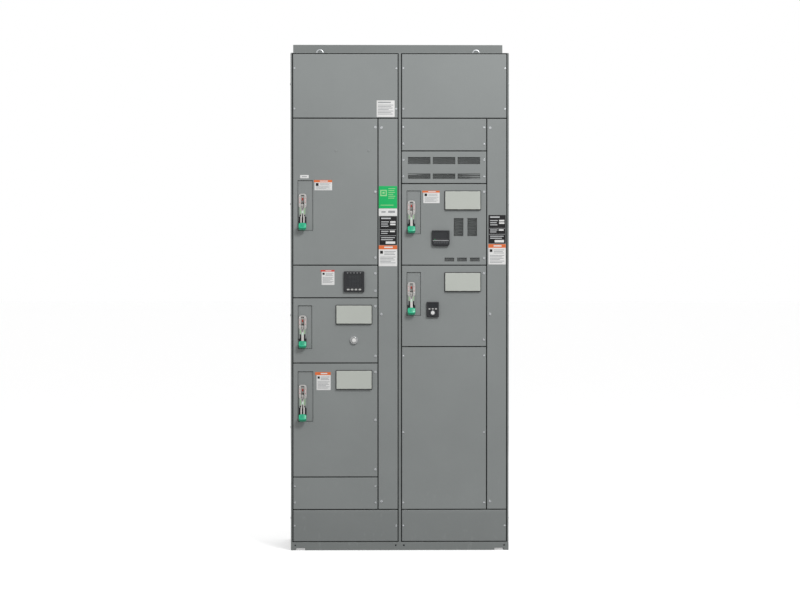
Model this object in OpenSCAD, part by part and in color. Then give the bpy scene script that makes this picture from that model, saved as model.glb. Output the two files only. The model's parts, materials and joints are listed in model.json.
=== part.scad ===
// Two-section, floor-standing power control cabinet.
// +Z is up and the doors face -Y. The origin is on the floor, midway between
// the two sections and midway between the front and the rear.

/* [Cabinet] */
// Width of one vertical section
section_w = 508; // [508:1:560]
// Depth of a section, door face to rear cover
section_d = 508; // [508:1:600]
// Height of one unit space
unit_pitch = 76.2; // [76.2:0.1:80]
// Height of the base channels
base_h = 38.1; // [36:0.1:50]
// Unit heights of the left section, top to bottom, in unit spaces
left_stack = [9, 2, 4, 7, 2]; // [2:1:12]
// Unit heights of the right section, top to bottom, in unit spaces
right_stack = [2, 2, 5, 5, 10]; // [2:1:12]
// Height of the top wireway cover in unit spaces
top_cover_units = 4; // [3:1:5]
// Height of the bottom wireway cover in unit spaces
bottom_cover_units = 2; // [2:1:3]
// Width of the vertical wireway, at the right of each section
wireway_w = 102; // [100:1:110]

/* [Sheet metal] */
// Sheet thickness of doors and covers
door_sheet = 1.9; // [1.5:0.1:2]
// Sheet thickness of the welded frame
frame_sheet = 2.5; // [2:0.1:3]
// Sheet thickness of roof plates and side panels
panel_sheet = 1.6; // [1.2:0.1:2]
// Outside radius of the bends round a door or cover
bend_r = 2.5; // [2:0.1:3]
// Depth of the return flange round a door or cover
door_depth = 16; // [15:0.5:16]
// Gap between neighbouring doors
door_gap = 4.5; // [4:0.1:5]
// Distance from the section edge to the door edge
door_edge = 10; // [9.8:0.1:11]
// Width of the folded front edge of a section
front_lip = 5.5; // [5:0.1:5.6]

/* [Hinges and latches] */
// Radius of a hinge pin
pin_r = 3; // [2.5:0.1:3]
// Radial clearance of a pin in its knuckle
pin_play = 0.05; // [0.03:0.01:0.1]
// Hinge axis, measured in from the door edge
hinge_x = 6.5; // [6.4:0.1:6.6]
// Hinge axis, measured back from the door face
hinge_y = 7.5; // [7.4:0.1:7.6]
// Radius of a quarter-turn latch head
latch_head_r = 6; // [5:0.5:7]
// Radius of a cover screw head
screw_head_r = 4.5; // [4:0.5:5]

/* [Operating handles] */
// Distance from the handle shaft to the tip, small size
small_lever = 103; // [100:1:106]
// Distance from the handle shaft to the tip, large size
large_lever = 122; // [118:1:124]
// Rest angle of a lever, out from straight down
lever_rest = 25; // [25:1:28]
// Width of the grip
grip_w = 36; // [34:1:36]
// Radius of the handle shaft
shaft_r = 5; // [4.5:0.1:5]

/* [Door devices] */
// Size of a control plate: width, height, depth
plate_size = [164, 84, 14]; // [10:1:170]
// Side of the square meter bezel
meter_side = 96; // [92:1:98]
// Radius of the reset button head
button_r = 11; // [10:0.5:12]
// Radius of the keypad dial
dial_r = 14; // [12:0.5:15]

/* [Lifting and floor fixing] */
// Leg width of the lifting angle
angle_leg = 76.2; // [70:0.1:80]
// Inside radius of a lifting eye
eye_r = 11; // [10:0.5:12]
// Radius of a floor anchor hole
anchor_r = 7.15; // [6:0.05:8]
// Left to right spacing of a section's floor anchors
anchor_dx = 330.2; // [320:0.1:340]
// Front to back spacing of the floor anchors
anchor_dy = 431.8; // [425:0.1:432]

/* [Hidden] */
$fn = 64;

// Heights of the cabinet, from the floor
unit_spaces = 24;
front_y = -section_d / 2;
unit_floor = base_h + bottom_cover_units * unit_pitch;
unit_ceiling = unit_floor + unit_spaces * unit_pitch;
cabinet_top = unit_ceiling + top_cover_units * unit_pitch;
section_x = [-section_w, 0];
stacks = [left_stack, right_stack];
LEFT = 0;
RIGHT = 1;

// Places across a section, from its left edge
seam_x = section_w - wireway_w;
door_w = seam_x - door_gap / 2 - door_edge;
wire_door_w = wireway_w - door_gap / 2 - door_edge;
full_cover_w = section_w - 2 * door_edge;
latch_x = seam_x - 12;
wire_latch_x = seam_x + 16;
screw_inset = 6.5;

// Depths, from the door face back
post_face = 20;
post_w = 38;
post_d = 60;
post_lift = 0.5;
divider_w = 50;
latch_len = 25;
pan_x = 42;
pan_w = seam_x - 26 - pan_x;
pan_back = 250;
rear_face = section_d - post_face;

// Hinge: bracket tab below a knuckle that is welded into the door tray
tab_h = 5;
tab_r = 5.3;
foot_h = 18;
knuckle_r = 6.2;
knuckle_h = 22;
knuckle_lift = 0.5;

// Operating mechanisms: section, unit, large size or not, drop of the shaft from the unit top
operators = [
    [LEFT, 0, true, 407],
    [LEFT, 2, false, 137],
    [LEFT, 3, true, 156],
    [RIGHT, 2, false, 134],
    [RIGHT, 3, false, 134]
];
MAIN = 0;
STARTER = 1;
LARGE = 2;
DRIVE = 3;
SOFT = 4;
lever_x = 54;
shaft_y = 14;
arm_w = 12;
arm_t = 9;
grip_l = 27;
cheek_start = 58;
housing_x = [38, 92];
face_y = 5;
face_t = 3;

// Unit a door or a cover belongs to, and where its devices sit
plate_x = 212;
plate_drop = 36;
meter_centre = [294, 76];
key_pitch = 18;
reset_centre = [294, 107];
drive_pad = [150, 90, 82, 73];
soft_pad = [125, 139, 57, 71];
dial_centre = [soft_pad[0] + soft_pad[2] / 2, soft_pad[1] + 20];

function before(stack, i) = i == 0 ? 0 : stack[i - 1] + before(stack, i - 1);
function unit_h(s, i) = unit_pitch * stacks[s][i];
function unit_z(s, i) = unit_ceiling - unit_pitch * (before(stacks[s], i) + stacks[s][i]);
function shaft_z(k) = unit_z(operators[k][0], operators[k][1])
    + unit_h(operators[k][0], operators[k][1]) - operators[k][3];
function is_large(k) = operators[k][2];
function cutout_x(k) = is_large(k) ? 31 : 32;
function cutout_w(k) = is_large(k) ? 72 : 66;
function cutout_h(k) = is_large(k) ? 235 : 203;
function lever_length(k) = is_large(k) ? large_lever : small_lever;
function breaker_size(k) = k == MAIN ? [140, 110, 325] : is_large(k) ? [140, 103, 255] : [104, 86, 163];
function breaker_x(k) = is_large(k) ? 122 : 106;
function hinge_levels(h) = h > 600 ? [28, h / 2 - 14, h - 60] : [28, h - 60];
function latch_levels(h) = h > 500 ? [36, h / 2, h - 42] : [33, h - 38];
function wire_door_h() = unit_spaces * unit_pitch - door_gap;

module in_section(s) translate([section_x[s], front_y, 0]) children();
module in_unit(s, i) translate([section_x[s], front_y, unit_z(s, i)]) children();
module at_shaft(k) translate([section_x[operators[k][0]], front_y, shaft_z(k)]) children();
module along_y(p, r, len) translate(p) rotate([-90, 0, 0]) cylinder(r = r, h = len);
module along_x(p, r, len) translate(p) rotate([0, 90, 0]) cylinder(r = r, h = len);

// ---------------------------------------------------------------- sheet metal

// Section of a folded sheet: w wide, with rounded bends at its two front corners
module bent_section(w) {
    translate([bend_r, 0]) square([w - 2 * bend_r, door_depth]);
    translate([0, bend_r]) square([w, door_depth - bend_r]);
    for (x = [bend_r, w - bend_r]) translate([x, bend_r]) circle(r = bend_r);
}

// A folded tray: face on y = 0, return flanges running back
module tray(w, h, t = door_sheet) {
    difference() {
        intersection() {
            linear_extrude(h) bent_section(w);
            rotate([90, 0, 90]) linear_extrude(w) mirror([1, -1]) bent_section(h);
        }
        translate([t, t, t]) cube([w - 2 * t, door_depth, h - 2 * t]);
    }
}

// A tray with welded hinge knuckles on its x = 0 side; children are cut away
module hinged_door(w, h) {
    difference() {
        union() {
            tray(w, h);
            for (z = hinge_levels(h))
                translate([hinge_x, hinge_y, z + tab_h + knuckle_lift])
                    cylinder(r = knuckle_r, h = knuckle_h);
        }
        for (z = hinge_levels(h)) {
            translate([hinge_x, hinge_y, z + tab_h])
                cylinder(r = pin_r + pin_play, h = knuckle_h + 2 * knuckle_lift);
            translate([-1, door_sheet, z - foot_h - 1])
                cube([door_sheet + 2, door_depth, foot_h + 1 + tab_h + knuckle_lift]);
        }
        children();
    }
}

// Brackets with pins that carry one hinged door
module door_hinges(h) {
    for (z = hinge_levels(h)) {
        translate([hinge_x, hinge_y, z]) cylinder(r = tab_r, h = tab_h);
        translate([hinge_x, hinge_y, z]) cylinder(r = pin_r, h = tab_h + knuckle_h - 1);
        translate([hinge_x - 1.5, hinge_y, z]) cube([tab_r + 1, post_face - hinge_y, tab_h]);
        translate([hinge_x - 1.5, post_face - 2.5, z - foot_h]) cube([20, 2.5, foot_h + tab_h]);
    }
}

// Slats that fill a vent opening of w by h, welded to the back of the sheet
module slats(w, h, pitch = 6.5) {
    n = floor(h / pitch);
    for (k = [0 : n - 1])
        translate([-1, door_sheet - 0.8, (k + 0.5) * h / n - 2.5])
            rotate([-30, 0, 0]) cube([w + 2, 1.2, 5]);
}

module latch_holes(x, levels) for (z = levels) along_y([x, -1, z], 3.5, 5);

// Captive quarter-turn fastener: slotted head, washer and stud
module latch(x, z) {
    difference() {
        union() {
            along_y([x, -2.5, z], latch_head_r, 2.5);
            along_y([x, -1, z], 2.5, latch_len + 1);
            along_y([x, door_sheet, z], latch_head_r - 1, 1.5);
        }
        translate([x - 0.9, -3, z - latch_head_r]) cube([1.8, 1.7, 2 * latch_head_r]);
    }
}

// ------------------------------------------------------------ frame and shell

module post_profile() {
    square([front_lip, frame_sheet]);
    square([frame_sheet, post_d]);
    translate([0, post_face]) square([post_w, frame_sheet]);
    translate([post_w - frame_sheet, post_face]) square([frame_sheet, 22]);
}

module corner_posts() {
    h = cabinet_top - panel_sheet - base_h - post_lift;
    for (flip_x = [0, 1], flip_y = [0, 1])
        translate([flip_x * section_w, flip_y * section_d, base_h + post_lift])
            mirror([flip_x, 0, 0]) mirror([0, flip_y, 0]) linear_extrude(h) post_profile();
}

// Front and rear beams of one level, as angles that meet the posts
module cross_beams(z, rear = true) {
    for (flip = rear ? [0, 1] : [0])
        translate([post_w - frame_sheet, flip * section_d, z]) mirror([0, flip, 0])
            translate([0, post_face, 0]) {
                cube([section_w - 2 * post_w + 2 * frame_sheet, frame_sheet, post_w]);
                cube([section_w - 2 * post_w + 2 * frame_sheet, post_w, frame_sheet]);
            }
}

module side_beams(z) {
    for (flip = [0, 1])
        translate([flip * section_w, 0, z]) mirror([flip, 0, 0])
            translate([0, post_d - 1, 0]) {
                cube([frame_sheet, section_d - 2 * post_d + 2, post_w]);
                cube([post_w, section_d - 2 * post_d + 2, frame_sheet]);
            }
}

// Post behind the seam between the unit doors and the wireway door
module divider_post() {
    translate([seam_x - divider_w / 2, post_face, unit_floor - 10]) {
        cube([divider_w, frame_sheet, unit_spaces * unit_pitch + 20]);
        for (x = [0, divider_w - frame_sheet])
            translate([x, 0, 0]) cube([frame_sheet, 30, unit_spaces * unit_pitch + 20]);
    }
}

// Rails behind the seams between units
module unit_rails(s) {
    for (i = [1 : len(stacks[s]) - 1])
        translate([post_w - frame_sheet, post_face, unit_z(s, i - 1) - 12])
            cube([seam_x - divider_w / 2 - post_w + 2 * frame_sheet, frame_sheet, 24]);
}

// Rear rails that carry the bus supports
support_levels = [330, 900, 1470];
support_x = seam_x / 2;
module bus_rails() {
    for (z = support_levels)
        translate([post_w - frame_sheet, rear_face - frame_sheet, z - 20])
            cube([section_w - 2 * post_w + 2 * frame_sheet, frame_sheet, 40]);
    translate([support_x - 60, rear_face - frame_sheet, unit_ceiling - 12])
        cube([120, frame_sheet, cabinet_top - unit_ceiling - post_w + 14]);
}

function cover_levels(h) = h > 500 ? [33, h - 400, h - 42]
    : h > 250 ? [42, h - 72] : h > 150 && h < 153 ? [33, h - 42] : [h / 2];
rear_levels = [for (k = [0 : 4]) 60 + k * (cabinet_top - base_h - 120) / 4];
rear_screw_x = [door_edge + screw_inset, section_w - door_edge - screw_inset];
side_levels = [150, 576, 1100, 1620, 2180];
side_screw_y = [30, section_d - 30];
top_cover_z = unit_ceiling + door_gap / 2;
top_cover_h = cabinet_top - panel_sheet - 4 - top_cover_z;
bottom_cover_z = base_h + 4;
bottom_cover_h = unit_floor - door_gap / 2 - bottom_cover_z;
blanks = [[LEFT, 4], [RIGHT, 0], [RIGHT, 4]];

// Screw positions on the cover of one unit space, in unit coordinates
function unit_screws(s, i) = [
    for (x = [door_edge + screw_inset, latch_x], z = cover_levels(unit_h(s, i))) [x, z]
];
top_screws = [for (x = rear_screw_x, z = [42, top_cover_h - 66]) [x, top_cover_z + z]];
bottom_screws = [for (x = rear_screw_x) [x, bottom_cover_z + bottom_cover_h / 2]];
vent_unit = [RIGHT, 1];

function fixed_covers(s) = [for (b = concat(blanks, [vent_unit])) if (b[0] == s) b[1]];

module frame_holes(s) {
    for (p = concat(top_screws, bottom_screws)) along_y([p[0], post_face - 1, p[1]], 2.4, 5);
    for (i = fixed_covers(s), p = unit_screws(s, i))
        along_y([p[0], post_face - 1, unit_z(s, i) + p[1]], 2.4, 5);
    for (x = rear_screw_x, z = rear_levels)
        along_y([x, rear_face - frame_sheet - 1, base_h + z], 2.4, 5);
    for (i = [0 : len(stacks[s]) - 1], z = latch_levels(unit_h(s, i)))
        along_y([latch_x, post_face - 1, unit_z(s, i) + z], 6, 5);
    for (z = latch_levels(wire_door_h()))
        along_y([wire_latch_x, post_face - 1, unit_floor + door_gap / 2 + z], 6, 5);
    for (x = [0, section_w - frame_sheet], y = side_screw_y, z = side_levels)
        along_x([x - 1, y, z], 2.4, frame_sheet + 2);
    anchor_holes(base_h - 1, 8);
}

module anchor_holes(z, h) {
    for (dx = [-1, 1], dy = [-1, 1])
        translate([section_w / 2 + dx * anchor_dx / 2, section_d / 2 + dy * anchor_dy / 2, z])
            cylinder(r = anchor_r, h = h);
}

module section_frames() {
    color([0.46, 0.48, 0.48]) for (s = [LEFT, RIGHT]) in_section(s) difference() {
        union() {
            corner_posts();
            cross_beams(base_h);
            cross_beams(unit_floor - 20, rear = false);
            cross_beams(unit_ceiling - 4, rear = false);
            cross_beams(cabinet_top - panel_sheet - post_w);
            side_beams(base_h);
            side_beams(cabinet_top - panel_sheet - post_w);
            divider_post();
            unit_rails(s);
            bus_rails();
        }
        frame_holes(s);
    }
}

channel_t = 4.5;
channel_d = 76;
channel_over = panel_sheet;
notch_w = 42;
notch_h = 10;
trim_hole_x = 19;
trim_hole_r = 4.2;

module base_channels() {
    w = 2 * (section_w + channel_over);
    color([0.40, 0.42, 0.42]) for (flip = [0, 1]) mirror([0, flip, 0]) difference() {
        translate([-w / 2, front_y, 0]) difference() {
            cube([w, channel_d, base_h]);
            translate([-1, channel_t, channel_t]) cube([w + 2, channel_d, base_h - 2 * channel_t]);
        }
        // Lifting notches at the two ends
        for (x = [-w / 2 + 24, w / 2 - 24 - notch_w])
            translate([x, front_y - 1, -1]) cube([notch_w, channel_d + 2, notch_h + 1]);
        // Trim-plate holes beside the section edges, in the web
        for (s = [LEFT, RIGHT], x = [trim_hole_x, section_w - trim_hole_x])
            along_y([section_x[s] + x, front_y - 1, base_h * 0.6], trim_hole_r, channel_t + 2);
        for (s = [LEFT, RIGHT]) translate([section_x[s], front_y, 0]) anchor_holes(-1, base_h + 2);
    }
}

angle_t = 6.35;
eye_x = section_w - 130;
eye_y = section_d / 2 - 40;

module lifting_angle() {
    color([0.46, 0.48, 0.48]) difference() {
        translate([-section_w, section_d / 2 - angle_leg, cabinet_top]) {
            cube([2 * section_w, angle_leg, angle_t]);
            translate([0, angle_leg - angle_t, 0]) cube([2 * section_w, angle_t, angle_leg]);
        }
        for (x = [-eye_x, eye_x])
            translate([x, eye_y, cabinet_top - 1]) cylinder(r = 5.2, h = angle_t + 2);
    }
}

// Half octagon-like section of an eye ring, with a flat land on its bore side
module eye_section() {
    polygon([[0, -3], [2, -4], [6, -4], [8, -2], [8, 2], [6, 4], [2, 4], [0, 3]]);
}

// Eye bolt: ring with a short cylindrical land, collar, stud and nut under the roof
module lifting_eye() {
    ring_z = cabinet_top + angle_t + 27;
    difference() {
        union() {
            translate([0, 0, ring_z]) rotate([90, 0, 0]) rotate_extrude()
                translate([eye_r, 0]) eye_section();
            translate([0, 0, cabinet_top + angle_t]) cylinder(r = 9, h = 4);
            translate([0, 0, cabinet_top - 14]) cylinder(r = 5, h = angle_t + 26);
            translate([0, 0, cabinet_top - panel_sheet - 9]) cylinder(r = 9, h = 8, $fn = 6);
        }
        translate([0, 20, ring_z]) rotate([90, 0, 0]) cylinder(r = eye_r, h = 40);
    }
}

module lifting_eyes() {
    color([0.85, 0.86, 0.87]) for (x = [-eye_x, eye_x]) translate([x, eye_y, 0]) lifting_eye();
}

module roof_plates() {
    color([0.54, 0.56, 0.56]) for (s = [LEFT, RIGHT]) in_section(s) difference() {
        translate([0, 0, cabinet_top - panel_sheet]) cube([section_w, section_d, panel_sheet]);
        translate([s == LEFT ? section_w - eye_x : eye_x, section_d / 2 + eye_y, cabinet_top - 3])
            cylinder(r = 5.2, h = 5);
    }
}

module side_and_rear_panels() {
    color([0.54, 0.56, 0.56]) {
        for (flip = [0, 1]) mirror([flip, 0, 0]) difference() {
            translate([section_w, front_y + 3, base_h + 3])
                cube([panel_sheet, section_d - 6, cabinet_top - base_h - 6]);
            for (y = side_screw_y, z = side_levels) along_x([section_w - 1, front_y + y, z], 2.6, 5);
        }
        for (s = [LEFT, RIGHT]) in_section(s) translate([0, section_d, base_h + 4]) mirror([0, 1, 0])
            difference() {
                translate([door_edge, 0, 0]) tray(full_cover_w, cabinet_top - base_h - panel_sheet - 8);
                for (x = rear_screw_x, z = rear_levels) along_y([x, -1, z - 4], 2.6, 5);
            }
    }
}

module wireway_covers() {
    color([0.54, 0.56, 0.56]) for (s = [LEFT, RIGHT]) in_section(s) {
        difference() {
            translate([door_edge, 0, top_cover_z]) tray(full_cover_w, top_cover_h);
            for (p = top_screws) along_y([p[0], -1, p[1]], 2.6, 5);
        }
        difference() {
            translate([door_edge, 0, bottom_cover_z]) tray(full_cover_w, bottom_cover_h);
            for (p = bottom_screws) along_y([p[0], -1, p[1]], 2.6, 5);
        }
    }
}

module unit_cover(s, i) {
    in_unit(s, i) difference() {
        translate([door_edge, 0, door_gap / 2]) tray(door_w, unit_h(s, i) - door_gap);
        for (p = unit_screws(s, i)) along_y([p[0], -1, p[1]], 2.6, 5);
        children();
    }
}

module blank_covers() color([0.54, 0.56, 0.56]) for (b = blanks) unit_cover(b[0], b[1]);

// Vent openings of the vent cover: x, z, width, height
vent_openings = [
    for (x = [38, 154, 270]) [x, 91, 105, 33],
    for (x = [38, 154, 270]) [x, 22, 105, 25]
];

module vent_cover() {
    color([0.54, 0.56, 0.56]) {
        unit_cover(RIGHT, 1) for (v = vent_openings) translate([v[0], -1, v[1]]) cube([v[2], 5, v[3]]);
        in_unit(RIGHT, 1) for (v = vent_openings) translate([v[0], 0, v[1]]) slats(v[2], v[3]);
    }
}

module screw(x, z) {
    difference() {
        union() {
            along_y([x, -2.5, z], screw_head_r, 2.5);
            along_y([x, -1, z], 2.2, latch_len + 1);
        }
        translate([x - screw_head_r, -3, z - 0.7]) cube([2 * screw_head_r, 1.7, 1.4]);
    }
}

module cover_screws() {
    color([0.80, 0.81, 0.82]) {
        for (s = [LEFT, RIGHT]) in_section(s) {
            for (p = concat(top_screws, bottom_screws)) screw(p[0], p[1]);
            translate([0, section_d, base_h]) mirror([0, 1, 0])
                for (x = rear_screw_x, z = rear_levels) screw(x, z);
        }
        for (b = concat(blanks, [vent_unit])) in_unit(b[0], b[1])
            for (p = unit_screws(b[0], b[1])) screw(p[0], p[1]);
        for (flip = [0, 1]) mirror([flip, 0, 0])
            translate([section_w + panel_sheet, front_y, 0]) for (y = side_screw_y, z = side_levels) {
                along_x([0, y, z], screw_head_r, 2.5);
                along_x([-8, y, z], 2.2, 9);
            }
    }
}

// --------------------------------------------------------------------- hinges

hinged_units = [[LEFT, 0], [LEFT, 1], [LEFT, 2], [LEFT, 3], [RIGHT, 2], [RIGHT, 3]];

module right_hinged(s) {
    in_section(s) translate([section_w - door_edge, 0, unit_floor + door_gap / 2])
        mirror([1, 0, 0]) children();
}

module hinge_pins() {
    color([0.75, 0.76, 0.77]) {
        for (u = hinged_units) in_unit(u[0], u[1]) translate([door_edge, 0, door_gap / 2])
            door_hinges(unit_h(u[0], u[1]) - door_gap);
        for (s = [LEFT, RIGHT]) right_hinged(s) door_hinges(wire_door_h());
    }
}

// ---------------------------------------------------------------- bus and bars

bar_t = 6.35;
bar_h = 50.8;
bus_l = 2 * section_w - 40;
bus_y = 340;
ground_y = 440;
vertical_y = 300;
riser_w = 25;
riser_t = 10;
phase_z = [for (k = [0 : 2]) unit_ceiling + 50 + 75 * k];
phase_x = [for (k = [-1 : 1]) support_x + 50 * k];
bar_play = 0.3;

module bus_bars() {
    color([0.80, 0.50, 0.34]) {
        for (z = phase_z) translate([-bus_l / 2, front_y + bus_y, z]) cube([bus_l, bar_t, bar_h]);
        for (s = [LEFT, RIGHT], k = [0 : 2]) in_section(s) {
            translate([phase_x[k] - riser_w / 2, vertical_y, unit_floor + 40])
                cube([riser_w, riser_t, phase_z[k] + bar_h - unit_floor - 40]);
            translate([phase_x[k] - riser_w / 2, vertical_y + riser_t, phase_z[k]])
                cube([riser_w, bus_y - vertical_y - riser_t, bar_h]);
        }
        translate([-bus_l / 2, front_y + ground_y, base_h + 60]) cube([bus_l, bar_t, bar_h]);
    }
}

// Moulded insulator that holds three vertical bars on two legs from the rear rail
module vertical_bus_support(z) {
    translate([support_x, 0, z - 17.5]) difference() {
        union() {
            translate([-80, vertical_y - 8, 0]) cube([160, 26, 35]);
            for (x = [-70, 50]) translate([x, vertical_y + 17, 7.5])
                cube([20, rear_face - frame_sheet - vertical_y - 17, 20]);
        }
        for (x = phase_x) translate([x - support_x - riser_w / 2 - bar_play, vertical_y - bar_play, -1])
            cube([riser_w + 2 * bar_play, riser_t + 2 * bar_play, 37]);
    }
}

module horizontal_bus_support() {
    translate([support_x, 0, unit_ceiling + 30]) difference() {
        union() {
            translate([75, bus_y - 10, 0]) cube([30, 30, 240]);
            for (z = [5, 205]) translate([40, bus_y + 19, z]) cube([65, 20, 25]);
            for (z = [5, 205]) translate([40, bus_y + 38, z])
                cube([20, rear_face - frame_sheet - bus_y - 38, 25]);
        }
        for (z = phase_z) translate([74, bus_y - bar_play, z - unit_ceiling - 30 - bar_play])
            cube([32, bar_t + 2 * bar_play, bar_h + 2 * bar_play]);
    }
}

module bus_supports() {
    color([0.62, 0.18, 0.14]) for (s = [LEFT, RIGHT]) in_section(s) {
        for (z = support_levels) vertical_bus_support(z);
        horizontal_bus_support();
    }
}

// ----------------------------------------------------------------- unit pans

pan_gap = 6;
pan_front = 25;

module unit_pan(s, i) {
    h = unit_h(s, i) - 2 * pan_gap;
    in_unit(s, i) translate([pan_x, pan_front, pan_gap]) difference() {
        cube([pan_w, pan_back + 2 - pan_front, h]);
        translate([2, -1, 2]) cube([pan_w - 4, pan_back + 1 - pan_front, h - 4]);
        // Cable window towards the vertical wireway
        translate([pan_w - 5, 30, h * 0.2]) cube([10, 90, h * 0.6]);
        // Front clearance for the operating mechanism
        translate([-1, -1, 20]) cube([8, 75, h - 40]);
    }
}

// Insulated plug-on contacts behind a unit, gripping the three vertical bars
module stab_block(s, i) {
    in_unit(s, i) translate([support_x, 0, unit_h(s, i) / 2 - 20]) difference() {
        translate([-75, pan_back + 2, 0]) cube([150, 54, 40]);
        for (x = phase_x) translate([x - support_x - riser_w / 2 - bar_play, vertical_y - bar_play, -1])
            cube([riser_w + 2 * bar_play, 20, 42]);
    }
}

module unit_pans() {
    color([0.82, 0.83, 0.82]) {
        for (u = hinged_units) unit_pan(u[0], u[1]);
        for (u = [[LEFT, 2], [LEFT, 3], [RIGHT, 2], [RIGHT, 3]]) stab_block(u[0], u[1]);
    }
}

// ------------------------------------------------------- operating mechanisms

module operator_housing(k) {
    w = cutout_w(k) - 3;
    h = cutout_h(k) - 3;
    box_h = 170;
    box_d = 76;
    box_w = housing_x[1] - housing_x[0];
    at_shaft(k) difference() {
        union() {
            translate([cutout_x(k) + 1.5, face_y, -h / 2]) cube([w, face_t, h]);
            translate([lever_x - 18, -2, -53]) cube([36, face_y + 2, 106]);
            translate([housing_x[0], face_y, -box_h / 2]) cube([box_w, box_d, box_h]);
        }
        translate([housing_x[0] + 2.5, face_y + face_t, -box_h / 2 + 2.5])
            cube([box_w - 5, box_d, box_h - 5]);
        translate([lever_x - arm_w / 2 - 2, -3, -47]) cube([arm_w + 4, 20, 94]);
        along_x([housing_x[0] - 1, shaft_y, 0], shaft_r + 0.06, box_w + 2);
    }
}

module operator_housings() color([0.50, 0.52, 0.52]) for (k = [MAIN : SOFT]) operator_housing(k);

// Lever, hub, crank and shaft of one handle, hanging at its rest angle
module handle(k) {
    len = lever_length(k);
    color([0.10, 0.72, 0.50]) at_shaft(k) translate([lever_x, shaft_y, 0]) {
        along_x([housing_x[0] - 2 - lever_x, 0, 0], shaft_r, housing_x[1] - housing_x[0] + 4);
        along_x([-7, 0, 0], 8, 14);
        along_x([26, 0, 0], shaft_r + 0.8, 6);
        rotate([-lever_rest, 0, 0]) {
            translate([-arm_w / 2, -arm_t / 2, -len + 5]) cube([arm_w, arm_t, len - 5]);
            translate([-grip_w / 2 + 1, -4, -len + grip_l - 0.5])
                cube([grip_w - 2, 8, len - grip_l - cheek_start]);
            translate([-grip_w / 2, -11, -len]) cube([grip_w, 22, grip_l]);
        }
        rotate([-lever_rest, 0, 0]) translate([26.5, -4, 0]) cube([5, 8, 28]);
    }
}

// Moulded-case circuit breaker with a window for its toggle, on the unit pan's back plate
toggle_w = 14;
toggle_depth = 20;

module circuit_breaker(k) {
    size = breaker_size(k);
    y0 = pan_back - size[1];
    at_shaft(k) translate([breaker_x(k), y0, 0]) difference() {
        union() {
            translate([-size[0] / 2, 0, -size[2] / 2]) cube(size);
            translate([-size[0] / 2 + 8, -6, -size[2] * 0.27]) cube([size[0] - 16, 7, size[2] * 0.54]);
        }
        translate([-toggle_w / 2 - 1, -7, -24]) cube([toggle_w + 2, toggle_depth + 20, 48]);
        along_x([-13, toggle_depth, 0], 3.06, 26);
        // Terminal pockets for three poles, top and bottom
        for (p = [-1 : 1], z = [-size[2] / 2 - 1, size[2] / 2 - 24])
            translate([p * size[0] * 0.32 - 10, -1, z]) cube([20, size[1] * 0.6, 25]);
    }
}

module circuit_breakers() color([0.13, 0.13, 0.14]) for (k = [MAIN : SOFT]) circuit_breaker(k);

toggle_rest = 18;

module toggle(k) {
    color([0.20, 0.20, 0.21]) at_shaft(k)
        translate([breaker_x(k), pan_back - breaker_size(k)[1] + toggle_depth, 0]) {
            along_x([-toggle_w / 2, 0, 0], 11, toggle_w);
            along_x([-12, 0, 0], 3, 24);
            rotate([-90 + toggle_rest, 0, 0]) translate([-5, -4, -42]) cube([10, 8, 42]);
        }
}

// ---------------------------------------------------------- unit components

// A contactor: deep body, stepped arc chamber and terminal slots
module contactor(x, z, size) {
    translate([x, pan_back - size[1], z]) difference() {
        union() {
            cube(size);
            translate([size[0] * 0.15, -12, size[2] * 0.25]) cube([size[0] * 0.7, 13, size[2] * 0.5]);
        }
        for (p = [0 : 2], zz = [-1, size[2] - 14])
            translate([size[0] * (0.14 + 0.28 * p), -1, zz]) cube([size[0] * 0.16, size[1] * 0.5, 15]);
    }
}

module overload_relay(x, z, size) {
    translate([x, pan_back - size[1], z]) difference() {
        cube(size);
        along_y([size[0] * 0.5, -1, size[2] * 0.6], 9, 6);
        translate([size[0] * 0.15, -1, size[2] * 0.1]) cube([size[0] * 0.7, 5, size[2] * 0.15]);
    }
}

module contactors() {
    color([0.20, 0.21, 0.22]) {
        in_unit(LEFT, 2) {
            contactor(190, 150, [76, 115, 112]);
            overload_relay(190, 70, [76, 95, 72]);
        }
        in_unit(LEFT, 3) {
            contactor(215, 260, [120, 150, 155]);
            overload_relay(218, 155, [114, 120, 95]);
        }
    }
}

// Power converter: cooling fins at the back, moulded cover with air slots at the front
module converter(w, d, h) {
    difference() {
        union() {
            cube([w, d - 40, h]);
            for (x = [0 : 12 : w - 4]) translate([x, d - 41, 4]) cube([4, 41, h - 8]);
        }
        for (z = [18 : 10 : 48]) translate([20, -1, z]) cube([w - 40, 6, 4]);
        translate([25, -1, h - 90]) cube([w - 50, 3, 60]);
    }
}

module drive_module() {
    color([0.24, 0.25, 0.27]) in_unit(RIGHT, 2)
        translate([186, pan_back - 205, 26]) converter(172, 205, 325);
}

module soft_starter_module() {
    color([0.30, 0.31, 0.33]) in_unit(RIGHT, 3)
        translate([190, pan_back - 190, 44]) converter(160, 190, 285);
}

// Control transformer: laminated core with a wound coil
module control_transformer(x, z) {
    translate([x, pan_back - 82, z]) {
        cube([80, 82, 22]);
        translate([0, 0, 50]) cube([80, 82, 22]);
        translate([10, 8, 21]) cube([60, 66, 30]);
    }
}

// Strip of modular terminals on a rail
module terminal_strip(x, z, n) {
    translate([x, pan_back - 8, z]) cube([35, 8, n * 8]);
    for (k = [0 : n - 1]) translate([x - 3, pan_back - 50, z + k * 8]) cube([41, 42, 7.2]);
}

module fuse_block(x, z) {
    for (k = [0 : 2]) translate([x + 28 * k, pan_back - 62, z]) difference() {
        cube([24, 62, 92]);
        translate([4, -1, 18]) cube([16, 22, 56]);
    }
}

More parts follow.
